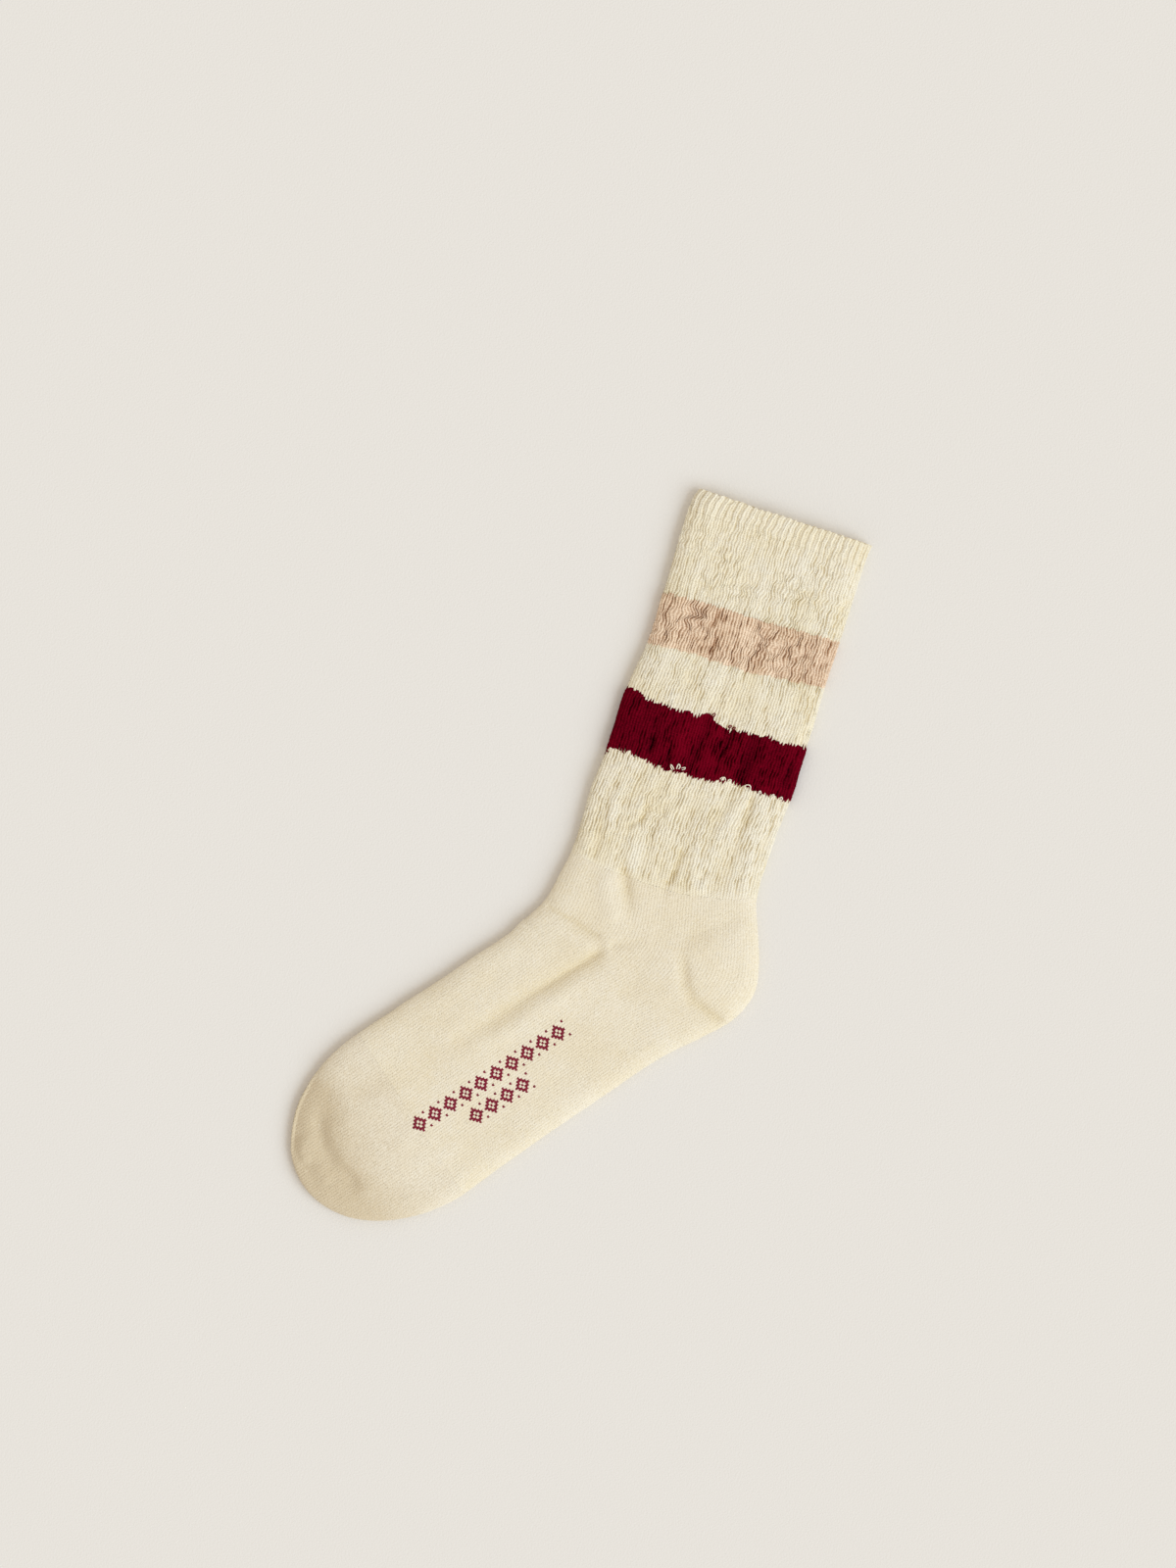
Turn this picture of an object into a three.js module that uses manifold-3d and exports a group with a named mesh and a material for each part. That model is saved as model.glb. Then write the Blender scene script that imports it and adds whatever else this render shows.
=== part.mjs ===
// A crew sock lying on its side, the two panels of the knitted tube one on the other.
// Millimetres. +Y runs up the leg to the cuff, +X towards the heel, +Z away from the table.
// The origin is the middle of the footprint, on the table.
import * as THREE from 'three';
import { mergeVertices } from 'three/addons/utils/BufferGeometryUtils.js';
import Module from 'manifold-3d';

const wasm = await Module();
wasm.setup();

// Cloth
const WALL = 2.8; // thick cotton knit, ribs and loops included
const PANEL_GAP = 0.8; // between the two panels where the sock lies flat
const DOME = 1.1; // extra room that the springy cloth keeps in the middle, away from its folds
const DOME_REACH = 12; // distance from a fold in which most of that room opens
const FOLD_ROUND = 3.6; // outside rounding of the side folds underneath
const SHOULDER = 6; // and on top, where the upper panel slopes off
const HOLLOW_RADIUS = 1.2; // rounding of the hollow's own sides
const SEAM_GAP = 0.3; // between neighbouring pieces
const NEARBY = 0.01; // step in stations over which a speed along the folds is measured

// Outline of the leg and the ankle turn: facing points of the front and the back fold.
const CUFF_EDGE = [[-6, 186], [77.8, 186.2]];
const WELT_END = [[-8, 175.2], [77.2, 175.6]];
const TAN_TOP = [[-7, 136.5], [77.9, 138.5]];
const TAN_END = [[-6.6, 112.5], [78, 115]];
const BURGUNDY_TOP = [[-8.8, 88], [78.8, 88]];
const BURGUNDY_END = [[-8.8, 58.5], [79.3, 61.5]];
const LOW_LEG = [[-9.6, 35], [78, 38]];
const RIB_END = [[-9.2, 9.5], [79.2, 14.5]];
const HEEL_TURN = [
  [[-11, -2], [84.5, 0]],
  [[-12, -10], [89.7, -14]],
  [[-13.5, -17], [91.9, -28]],
  [[-16, -22.5], [86.5, -42.5]],
  [[-19, -27.5], [75, -55]],
  [[-21, -30.2], [60, -70]],
];

// Foot: its axis runs from the heel towards the toe; across it, +across is the sole side.
const FOOT_ANGLE = 231.8; // degrees from +X
const INSTEP_ACROSS = 4; // front fold, measured across the axis from the origin
const SOLE_ACROSS = 93.2; // back fold
const FOOT_STATIONS = [46, 68, 98]; // along the axis, where the foot tube is straight
const SOLE_ARCH = 2.6; // the sole draws in behind the ball of the foot
const TOE_START = 128; // along the axis
const TOE_LENGTH = 60.1; // half ellipse that closes the toe

// Swelling of the upper panel: centre, reach and rise
const HEEL_SWELL = { at: [62, -26], reach: 34, rise: 1 };
const TOE_SWELL = { at: [-52, -150], reach: 34, rise: 0.9 };
const INSTEP_SWELL = { at: [-30, -90], reach: 40, rise: 0.7 };

// Largest creases of the upper panel: a route, its half width and its depth
const CREASES = [
  { route: [[21, -29], [3, -53], [-12.6, -72.4], [-22, -88]], half: 5, depth: 1.1 },
  { route: [[-7, -21], [5, -23.5], [21, -28]], half: 4, depth: 1.1 },
  { route: [[53, -22], [62, -36], [80, -43]], half: 4, depth: 1 },
];

// Heel pocket: its gore lines run from the ankle out to the back fold
const HEEL_POINT = [50, -21];
const HEEL_UPPER_END = [92, 9];
const HEEL_LOWER_END = [89, -53];
const HEEL_BEYOND = 120; // clear of the heel
const CUTTER_REACH = 30; // the cutting prism passes well above and below the cloth

// Mesh fineness
const UPPER_POINTS = 20;
const UNDER_POINTS = 12;
const STATION_STEP = 8;
const TOE_STEPS = 9;
const OUTLINE_SAMPLES = 40; // a stretch
const MERGE_DISTANCE = 1e-4;

const CREAM_RIB = { color: 0xe9dcbf, roughness: 0.95, metalness: 0 };
const TAN_RIB = { color: 0xceb192, roughness: 0.95, metalness: 0 };
const BURGUNDY_RIB = { color: 0x5a0514, roughness: 0.9, metalness: 0 };
const CREAM_PLAIN = { color: 0xe8dcc4, roughness: 0.97, metalness: 0 };

const footAxis = new THREE.Vector2(1, 0).rotateAround(new THREE.Vector2(), FOOT_ANGLE * Math.PI / 180);
const footAcross = new THREE.Vector2(-footAxis.y, footAxis.x);

function footPoint(along, across) {
  return footAxis.clone().multiplyScalar(along).addScaledVector(footAcross, across);
}

function footPair(along) {
  const toStraight = (along - FOOT_STATIONS[0]) / (TOE_START - FOOT_STATIONS[0]);
  const arch = SOLE_ARCH * Math.cos(Math.PI / 2 * THREE.MathUtils.clamp(toStraight, 0, 1));
  return [footPoint(along, INSTEP_ACROSS), footPoint(along, SOLE_ACROSS - arch)];
}

const legPairs = [
  CUFF_EDGE, WELT_END, TAN_TOP, TAN_END, BURGUNDY_TOP, BURGUNDY_END, LOW_LEG, RIB_END, ...HEEL_TURN,
].map((pair) => pair.map(([x, y]) => new THREE.Vector2(x, y)));
const pairs = [...legPairs, ...[...FOOT_STATIONS, TOE_START].map(footPair)];
const stretches = pairs.length - 1; // the toe is one more stretch after these
const frontFold = new THREE.SplineCurve(pairs.map(([front]) => front));
const backFold = new THREE.SplineCurve(pairs.map(([, back]) => back));

// The two ends of the section at a station, drawn in by inset. A station is a number: the
// pair that it starts at, and how far it is to the next. The last stretch is the toe.
function sectionEnds(station, inset) {
  if (station > stretches) {
    const turn = (station - stretches) * Math.PI / 2;
    const along = TOE_START + (TOE_LENGTH - inset) * Math.sin(turn);
    const middle = (INSTEP_ACROSS + SOLE_ACROSS) / 2;
    const half = ((SOLE_ACROSS - INSTEP_ACROSS) / 2 - inset) * Math.cos(turn);
    return [footPoint(along, middle - half), footPoint(along, middle + half)];
  }
  const front = frontFold.getPoint(station / stretches);
  const back = backFold.getPoint(station / stretches);
  const across = back.clone().sub(front).normalize();
  return [front.addScaledVector(across, inset), back.addScaledVector(across, -inset)];
}

function outlineOf(inset) {
  const fronts = [];
  const backs = [];
  const last = (stretches + 1) * OUTLINE_SAMPLES;
  for (let i = 0; i <= last; i += 1) {
    const [front, back] = sectionEnds(i / OUTLINE_SAMPLES, inset);
    fronts.push(front);
    backs.push(back);
  }
  return [...fronts, ...backs.reverse()];
}

const outerOutline = outlineOf(0);
const hollowOutline = outlineOf(WALL);

// Distance from a point to the folds and the toe. The cuff end is open, so it doesn't count.
function distanceToOutline(outline, point) {
  let nearest = Infinity;
  for (let i = 1; i < outline.length; i += 1) {
    nearest = Math.min(nearest, distanceToStretch(outline[i - 1], outline[i], point));
  }
  return nearest;
}

function distanceToStretch(start, end, point) {
  const run = end.clone().sub(start);
  const share = run.lengthSq() > 0 ? point.clone().sub(start).dot(run) / run.lengthSq() : 0;
  return start.clone().addScaledVector(run, THREE.MathUtils.clamp(share, 0, 1)).distanceTo(point);
}

function swell({ at, reach, rise }, point) {
  const away = point.distanceTo(new THREE.Vector2(...at)) / reach;
  return away < 1 ? rise * Math.cos(away * Math.PI / 2) ** 2 : 0;
}

function creaseDepth({ route, half, depth }, point) {
  let nearest = Infinity;
  for (let i = 1; i < route.length; i += 1) {
    const start = new THREE.Vector2(...route[i - 1]);
    nearest = Math.min(nearest, distanceToStretch(start, new THREE.Vector2(...route[i]), point));
  }
  return depth * Math.exp(-((nearest / half) ** 2));
}

// Room between the panels at a point
function gapAt(point, foldDistance) {
  const dome = DOME * (1 - Math.exp(-foldDistance / DOME_REACH));
  const swells = [HEEL_SWELL, TOE_SWELL, INSTEP_SWELL];
  return PANEL_GAP + dome + swells.reduce((sum, one) => sum + swell(one, point), 0);
}

// Quarter-round rise from 0 at a fold to 1 at one radius inside it
function roundRise(distance, radius) {
  const left = 1 - Math.min(distance / radius, 1);
  return Math.sqrt(1 - left * left);
}

function outerHeight(point, isUpper) {
  const distance = distanceToOutline(outerOutline, point);
  const rise = roundRise(distance, isUpper ? SHOULDER : FOLD_ROUND);
  const middle = WALL + PANEL_GAP;
  if (!isUpper) return middle * (1 - rise);
  const depth = CREASES.reduce((sum, crease) => sum + creaseDepth(crease, point), 0);
  const top = 2 * WALL + gapAt(point, distance) - depth;
  return middle + (top - middle) * rise;
}

function hollowHeight(point, isUpper) {
  const gap = gapAt(point, distanceToOutline(outerOutline, point));
  const rise = roundRise(distanceToOutline(hollowOutline, point), HOLLOW_RADIUS);
  return WALL + gap / 2 * (1 + (isUpper ? rise : -rise));
}

// A closed section: over the upper panel from the front fold to the back, and back underneath
function ring(station, inset, heightAt) {
  const [front, back] = sectionEnds(station, inset);
  const points = [];
  const add = (share, isUpper) => {
    const point = front.clone().lerp(back, (1 - Math.cos(Math.PI * share)) / 2);
    points.push([point.x, point.y, heightAt(point, isUpper)]);
  };
  for (let i = 0; i <= UPPER_POINTS; i += 1) add(i / UPPER_POINTS, true);
  for (let i = UNDER_POINTS - 1; i > 0; i -= 1) add(i / UNDER_POINTS, false);
  return points;
}

// Stations of a piece, no further apart than STATION_STEP on its longer fold
function stationsBetween(from, to) {
  const stations = [from];
  for (let start = Math.floor(from); start < to; start += 1) {
    const low = Math.max(from, start);
    const high = Math.min(to, start + 1);
    const steps = start >= stretches ? TOE_STEPS : stepsOver(low, high);
    for (let i = 1; i <= steps; i += 1) stations.push(low + (high - low) * i / steps);
  }
  return stations;
}

function stepsOver(low, high) {
  const [front, back] = sectionEnds(low, 0);
  const [nextFront, nextBack] = sectionEnds(high, 0);
  return Math.ceil(Math.max(front.distanceTo(nextFront), back.distanceTo(nextBack)) / STATION_STEP);
}

// Half of the seam gap, as a share of the stretch that the station is in
function seamShare(station) {
  const [front, back] = sectionEnds(station, 0);
  const [nextFront, nextBack] = sectionEnds(station + NEARBY, 0);
  const slower = Math.min(front.distanceTo(nextFront), back.distanceTo(nextBack)) / NEARBY;
  return SEAM_GAP / 2 / slower;
}

// Joins rings of equal size, each to the next and the last to the first, into a closed surface
function closedGeometry(rings) {
  const size = rings[0].length;
  const faces = [];
  for (let i = 0; i < rings.length; i += 1) {
    const here = i * size;
    const next = ((i + 1) % rings.length) * size;
    for (let k = 0; k < size; k += 1) {
      const beside = (k + 1) % size;
      faces.push(here + k, next + beside, here + beside, here + k, next + k, next + beside);
    }
  }
  const geometry = new THREE.BufferGeometry();
  geometry.setAttribute('position', new THREE.Float32BufferAttribute(rings.flat(2), 3));
  geometry.setIndex(faces);
  return withoutSlivers(mergeVertices(geometry, MERGE_DISTANCE));
}

// Where a ring closes to a point, its triangles have no width and are left out
function withoutSlivers(geometry) {
  const kept = [];
  const index = geometry.getIndex();
  for (let i = 0; i < index.count; i += 3) {
    const corners = [index.getX(i), index.getX(i + 1), index.getX(i + 2)];
    if (new Set(corners).size === 3) kept.push(...corners);
  }
  geometry.setIndex(kept);
  return geometry;
}

// A stretch of the knitted tube: out along its outside and back through its hollow. It is
// open at both ends, except at the toe, where the outside and the hollow each end in a point.
function tube(from, to) {
  const stations = stationsBetween(from, to);
  const outside = stations.map((station) => ring(station, 0, outerHeight));
  const hollow = stations.map((station) => ring(station, WALL, hollowHeight)).reverse();
  return closedGeometry([...outside, ...hollow]);
}

function toSolid(geometry) {
  const bare = mergeVertices(geometry.deleteAttribute('normal').deleteAttribute('uv'));
  const vertProperties = Float32Array.from(bare.getAttribute('position').array);
  const triVerts = Uint32Array.from(bare.getIndex().array);
  return new wasm.Manifold(new wasm.Mesh({ numProp: 3, vertProperties, triVerts }));
}

function fromSolid(solid) {
  const { vertProperties, triVerts } = solid.getMesh();
  const geometry = new THREE.BufferGeometry();
  geometry.setAttribute('position', new THREE.Float32BufferAttribute(vertProperties, 3));
  geometry.setIndex(Array.from(triVerts));
  return geometry;
}

// A wedge with its point at the ankle that covers the heel, each side moved out by grow
function heelWedge(grow) {
  const point = new THREE.Vector2(...HEEL_POINT);
  const upper = new THREE.Vector2(...HEEL_UPPER_END).sub(point).normalize();
  const lower = new THREE.Vector2(...HEEL_LOWER_END).sub(point).normalize();
  const middle = upper.clone().add(lower).normalize();
  const apex = point.clone().addScaledVector(middle, -grow / Math.sin(middle.angleTo(upper)));
  const shape = new THREE.Shape([
    apex.clone().addScaledVector(lower, HEEL_BEYOND),
    apex.clone().addScaledVector(upper, HEEL_BEYOND),
    apex,
  ]);
  const wedge = new THREE.ExtrudeGeometry(shape, { depth: 2 * CUTTER_REACH, bevelEnabled: false });
  return toSolid(wedge.translate(0, 0, -CUTTER_REACH));
}

// The foot tube from the rib to the toe, and the heel pocket that is let into it
function footAndHeel(from, to) {
  const whole = toSolid(tube(from, to));
  const foot = fromSolid(whole.subtract(heelWedge(SEAM_GAP)));
  const heel = fromSolid(whole.intersect(heelWedge(0)));
  return [foot, heel];
}

function piece(name, geometry, finish) {
  geometry.computeVertexNormals();
  const mesh = new THREE.Mesh(geometry, new THREE.MeshStandardMaterial(finish));
  mesh.name = name;
  return mesh;
}

// Stretches of the leg in order from the cuff, each from one named line to the next
const LEG_PIECES = [
  ['cuff_welt', CREAM_RIB, 0, 1],
  ['rib_upper', CREAM_RIB, 1, 2],
  ['stripe_tan', TAN_RIB, 2, 3],
  ['rib_middle', CREAM_RIB, 3, 4],
  ['stripe_burgundy', BURGUNDY_RIB, 4, 5],
  ['rib_lower', CREAM_RIB, 5, 7],
];

function legPieces() {
  return LEG_PIECES.map(([name, finish, from, to]) => {
    const start = from === 0 ? 0 : from + seamShare(from);
    return piece(name, tube(start, to - seamShare(to)), finish);
  });
}

function footPieces() {
  const ribEnd = LEG_PIECES.at(-1)[3];
  const toeSeam = stretches - seamShare(stretches - NEARBY);
  const [foot, heel] = footAndHeel(ribEnd + seamShare(ribEnd), toeSeam);
  return [
    piece('foot', foot, CREAM_PLAIN),
    piece('heel', heel, CREAM_PLAIN),
    piece('toe', tube(stretches + seamShare(stretches), stretches + 1), CREAM_PLAIN),
  ];
}

const sock = new THREE.Group();
sock.add(...legPieces(), ...footPieces());

export default sock;
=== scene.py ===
"""A striped crew sock lying on its side on a pale floor: knitted cloth, pulled loops, light and camera."""

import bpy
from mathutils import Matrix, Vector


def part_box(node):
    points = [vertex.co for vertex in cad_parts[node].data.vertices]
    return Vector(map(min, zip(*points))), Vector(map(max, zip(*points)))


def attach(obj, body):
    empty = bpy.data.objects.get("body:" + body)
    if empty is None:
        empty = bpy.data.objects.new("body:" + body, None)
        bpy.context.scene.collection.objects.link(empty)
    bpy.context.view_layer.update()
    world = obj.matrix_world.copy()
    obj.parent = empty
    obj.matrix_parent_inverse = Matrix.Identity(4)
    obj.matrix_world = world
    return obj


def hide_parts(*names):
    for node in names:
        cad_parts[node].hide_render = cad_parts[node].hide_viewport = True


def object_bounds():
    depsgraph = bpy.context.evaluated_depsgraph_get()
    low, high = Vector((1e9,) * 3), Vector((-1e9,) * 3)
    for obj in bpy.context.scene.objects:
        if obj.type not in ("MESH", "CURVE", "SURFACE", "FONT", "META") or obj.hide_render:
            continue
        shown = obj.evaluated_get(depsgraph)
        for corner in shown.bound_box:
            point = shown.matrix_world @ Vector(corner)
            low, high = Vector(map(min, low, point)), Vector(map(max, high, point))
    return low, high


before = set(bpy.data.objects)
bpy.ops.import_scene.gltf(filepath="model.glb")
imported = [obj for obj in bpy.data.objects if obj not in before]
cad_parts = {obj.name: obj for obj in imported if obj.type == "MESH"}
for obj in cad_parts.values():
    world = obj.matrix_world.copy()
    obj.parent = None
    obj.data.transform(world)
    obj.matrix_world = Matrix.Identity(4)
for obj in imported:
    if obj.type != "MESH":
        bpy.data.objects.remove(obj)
CAD_BOX = [list(corner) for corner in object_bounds()]

import logging
import math
from dataclasses import dataclass, field, replace
from enum import Enum
from functools import partial

import bmesh
import bpy
import numpy as np
from mathutils import Matrix, Vector

log = logging.getLogger("sock")
MM = 0.001  # sizes below are millimetres, meshes are metres
TURN = 2 * math.pi
TINY = 1e-9  # keeps a division from being by zero

Points = np.ndarray
Tree = bpy.types.NodeTree
Socket = bpy.types.NodeSocket
Value = float | tuple | Socket


# ---------------------------------------------------------------- noise and outline helpers


def smooth_step(low: float, high: float, value: Points) -> Points:
    """Rises smoothly from 0 at low to 1 at high."""
    share = np.clip((value - low) / (high - low), 0.0, 1.0)
    return share * share * (3 - 2 * share)


def spline(points: Points, station: Points) -> Points:
    """Catmull-Rom curve through points, one stretch for each step of station.

    Args:
        points: the points that the curve passes, one a row.
        station: places on the curve; 0 is the first point, 1 the second.

    Returns:
        One point for each station.
    """
    last = len(points) - 1
    start = np.clip(np.floor(station).astype(int), 0, last - 1)
    t = (station - start)[..., None]
    before, here = points[np.maximum(start - 1, 0)], points[start]
    there, beyond = points[start + 1], points[np.minimum(start + 2, last)]
    leave, arrive = (there - before) / 2, (beyond - here) / 2
    cubic = 2 * (here - there) + leave + arrive
    square = 3 * (there - here) - 2 * leave - arrive
    return ((cubic * t + square) * t + leave) * t + here


def along_route(route: tuple, x: Points, y: Points) -> tuple[Points, Points]:
    """Distance from each (x, y) to a route of straight stretches, and where along it the nearest place is.

    Args:
        route: the route's points in order.
        x: places along X.
        y: places along Y.

    Returns:
        The distances, and the nearest places' shares of the route's length.
    """
    nearest, share = np.full(np.shape(x), np.inf), np.zeros(np.shape(x))
    whole = sum(math.dist(*pair) for pair in zip(route, route[1:]))
    done = 0.0
    for (ax, ay), (bx, by) in zip(route, route[1:]):
        run_x, run_y = bx - ax, by - ay
        part = np.clip(((x - ax) * run_x + (y - ay) * run_y) / (run_x**2 + run_y**2), 0, 1)
        away = np.hypot(x - ax - part * run_x, y - ay - part * run_y)
        share = np.where(away < nearest, (done + part * math.hypot(run_x, run_y)) / whole, share)
        nearest = np.minimum(nearest, away)
        done += math.hypot(run_x, run_y)
    return nearest, share


class Noise:
    """Seeded gradient noise on a plane, which can close on itself along its first axis."""

    SIZE = 320

    def __init__(self, seed: int) -> None:
        """Draws the gradients from a seed, so that they are the same each run."""
        angles = np.random.default_rng(seed).uniform(0, TURN, (self.SIZE, self.SIZE))
        self.slopes = np.stack([np.cos(angles), np.sin(angles)], axis=-1)

    def at(self, x: Points, y: Points, wrap: int = SIZE) -> Points:
        """Noise of about -1 to 1, with one swell for each step of x and y.

        Args:
            x: places along the axis that closes.
            y: places along the other axis.
            wrap: number of steps of x after which the pattern repeats.

        Returns:
            The noise at each place.
        """
        x, y = np.broadcast_arrays(x, y)
        cell_x, cell_y = np.floor(x).astype(int), np.floor(y).astype(int)
        part_x, part_y = x - cell_x, y - cell_y
        ease_x, ease_y = (p**3 * (p * (p * 6 - 15) + 10) for p in (part_x, part_y))
        corners = []
        for step_x in (0, 1):
            for step_y in (0, 1):
                slope = self.slopes[(cell_x + step_x) % wrap, (cell_y + step_y) % self.SIZE]
                corners.append(slope[..., 0] * (part_x - step_x) + slope[..., 1] * (part_y - step_y))
        near = corners[0] + ease_y * (corners[1] - corners[0])
        far = corners[2] + ease_y * (corners[3] - corners[2])
        return 1.5 * (near + ease_x * (far - near))


# ---------------------------------------------------------------- materials


def colour(hex_code: str) -> tuple[float, float, float, float]:
    """Turns an sRGB colour into a linear one.

    Args:
        hex_code: six hex digits, such as "e9dcbf".

    Returns:
        Red, green, blue and alpha.
    """
    parts = [int(hex_code[i : i + 2], 16) / 255 for i in (0, 2, 4)]
    linear = [c / 12.92 if c <= 0.04045 else ((c + 0.055) / 1.055) ** 2.4 for c in parts]
    return (*linear, 1.0)


def add_node(
    tree: Tree, kind: str, *values: Value, out: int | str = 0, inputs: dict | None = None, **settings: object
) -> Socket:
    """Adds a shader node with its settings and its inputs.

    Args:
        tree: the material's node tree.
        kind: the node's type, without ShaderNode in front.
        values: its first inputs in order, each a value, or an output socket that is linked.
        out: name or number of the output that is wanted.
        inputs: further inputs by name or number.
        settings: the node's own properties.

    Returns:
        The output socket.
    """
    node = tree.nodes.new(f"ShaderNode{kind}")
    for name, value in settings.items():
        setattr(node, name, value)
    for socket, value in (dict(enumerate(values)) | (inputs or {})).items():
        if isinstance(value, Socket):
            tree.links.new(value, node.inputs[socket])
        else:
            node.inputs[socket].default_value = value
    return node.outputs[out]


def new_shader(name: str, **values: float | tuple) -> bpy.types.Node:
    """Makes a material whose Principled shader has the values that are the same all over.

    Args:
        name: the material's name.
        values: socket names, with _ for a space, to values.

    Returns:
        The shader.
    """
    made = bpy.data.materials.new(name)
    made.use_nodes = True
    shader = made.node_tree.nodes["Principled BSDF"]
    for socket, value in values.items():
        shader.inputs[socket.replace("_", " ")].default_value = value
    return shader


@dataclass(frozen=True)
class CottonKnit:
    """Matt cotton knit: chevrons of yarn in columns, with painted light on the ridges and painted warm shade
    between them.
    """

    name: str
    ridge: str  # sRGB of the yarn that catches the light
    valley: str  # sRGB of the painted shade between the ribs, warmed where light bounces from yarn to yarn
    mottle: str  # sRGB that the yarn drifts to in patches
    mottle_share: float = 0.35
    stitch_depth: float = 0.22  # mm
    column_share: float = 0.5  # how much of the stitch relief runs down the columns, not across
    nap_depth: float = 0.25  # mm
    fuzz_share: float = 0.5  # how far loose fibres lighten and darken the yarn
    sheen: float = 0.25
    gloss: float = 0.2  # specular level; none on a deep colour, which the fuzz keeps quite dull
    stitch_tint: float = 0.3  # how far painted shade darkens the gaps between stitches
    chart: str = ""  # sRGB of the yarn of a charted motif, where there is one

    CHART_SHADE = "4a0616"  # sRGB of the painted shade in the gaps between the motif's stitches
    ROUGHNESS = 0.95
    SHEEN_ROUGHNESS = 0.55
    MOTTLE_SIZE = 14.0  # mm between patches
    MOTTLE_RANGE = (0.4, 0.62)  # noise over which the yarn drifts to the mottle colour
    NAP_SIZE = 0.7  # mm between tufts; real fibres are a tenth of that and would not show
    FUZZ_SIZE = 0.9  # mm, drawn as coarse as it needs to show
    CHEVRON_SLOPE = 0.9  # courses that a stitch leg climbs across half a wale
    CELL_LONG = 1.0625  # mm of the foot's length to a charted stitch
    CELL_WIDE = 1.2
    CHART_ROWS = ((46.0, 85.0, 50.3), (73.0, 34.0, 61.4))  # mm: start, length along the foot, lower edge
    CHART_PITCH = 8.0  # charted stitches from one lozenge to the next
    CHART_HALF = 3.0  # charted stitches from a lozenge's middle to its tip across the foot
    STITCH_LEAN = 0.7  # how far the legs of a charted stitch lean, in stitches
    RING = 2.5  # a lozenge is ringed by the stitches two and three steps out from its middle

    def material(self) -> bpy.types.Material:
        """Builds the shader, or finds it if it is built.

        Returns:
            The material.
        """
        if self.name in bpy.data.materials:
            return bpy.data.materials[self.name]
        even = {"Sheen_Weight": self.sheen, "Specular_IOR_Level": self.gloss}
        shader = new_shader(self.name, Roughness=self.ROUGHNESS, Sheen_Roughness=self.SHEEN_ROUGHNESS, **even)
        tree = shader.id_data
        place = add_node(tree, "TexCoord", out="Object")
        stitch = self.stitch_height(tree)
        tree.links.new(self.yarn_colour(tree, place, stitch), shader.inputs["Base Color"])
        tree.links.new(self.bumps(tree, place, stitch), shader.inputs["Normal"])
        return bpy.data.materials[self.name]

    def stitch_height(self, tree: Tree) -> Socket:
        """Rounded chevrons, one for each wale and course of the UV map.

        Args:
            tree: the material's node tree.

        Returns:
            The height, about 0 to 1.
        """
        knit = add_node(tree, "UVMap", uv_map="knit")
        wale, course, _ = add_node(tree, "SeparateXYZ", knit).node.outputs
        part = add_node(tree, "Math", wale, operation="FRACT")
        side = add_node(tree, "Math", part, 0.5, operation="SUBTRACT")
        offset = add_node(tree, "Math", side, operation="ABSOLUTE")
        climb = add_node(tree, "Math", offset, self.CHEVRON_SLOPE, course, operation="MULTIPLY_ADD")
        climb_turn = add_node(tree, "Math", climb, TURN, operation="MULTIPLY")
        legs = add_node(tree, "Math", climb_turn, operation="COSINE")
        offset_turn = add_node(tree, "Math", offset, TURN, operation="MULTIPLY")
        column = add_node(tree, "Math", offset_turn, operation="COSINE")
        across = add_node(tree, "Math", legs, 0.5 * (1 - self.column_share), 0.5, operation="MULTIPLY_ADD")
        return add_node(tree, "Math", column, 0.5 * self.column_share, across, operation="MULTIPLY_ADD")

    def yarn_colour(self, tree: Tree, place: Socket, stitch: Socket) -> Socket:
        """Ridge and valley colours, mixed by the relief as painted light and shade, and mottle colours mixed
        in by patches.

        Args:
            tree: the material's node tree.
            place: the place on the object.
            stitch: the height of the stitches.

        Returns:
            The colour.
        """
        relief = add_node(tree, "Attribute", out="Fac", attribute_name="relief")
        patch, fuzz = (
            add_node(tree, "TexNoise", inputs={"Vector": place, "Scale": 1 / (size * MM), "Detail": 3.0})
            for size in (self.MOTTLE_SIZE, self.FUZZ_SIZE)
        )
        patch_share = add_node(tree, "MapRange", patch, *self.MOTTLE_RANGE, 0.0, self.mottle_share)
        tones = {6: colour(self.ridge), 7: colour(self.mottle)}
        plain = add_node(tree, "Mix", patch_share, out=2, inputs=tones, data_type="RGBA")
        # painted shade: low stitches and low relief are painted towards the valley colour, high ones towards
        # the lit ridge colour
        stitch_tone = add_node(tree, "Math", stitch, 0.5, operation="SUBTRACT")
        shade = add_node(tree, "Math", stitch_tone, self.stitch_tint, relief, operation="MULTIPLY_ADD")
        fuzz_tone = add_node(tree, "Math", fuzz, 0.5, operation="SUBTRACT")
        shade = add_node(tree, "Math", fuzz_tone, 2 * self.fuzz_share, shade, operation="MULTIPLY_ADD")
        lit = add_node(tree, "MapRange", shade, 0.0, 1.0)
        tones = {6: colour(self.valley), 7: plain}
        knit = add_node(tree, "Mix", lit, out=2, inputs=tones, data_type="RGBA")
        if not self.chart:
            return knit
        chains = [self.lozenges(tree, *row) for row in self.CHART_ROWS]
        charted = add_node(tree, "Math", *chains, operation="MAXIMUM")
        # painted shade on the motif too: its stitches darken towards CHART_SHADE where the lit share is low
        tones = {6: colour(self.CHART_SHADE), 7: colour(self.chart)}
        motif = add_node(tree, "Mix", lit, out=2, inputs=tones, data_type="RGBA")
        return add_node(tree, "Mix", charted, out=2, inputs={6: knit, 7: motif}, data_type="RGBA")

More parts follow.
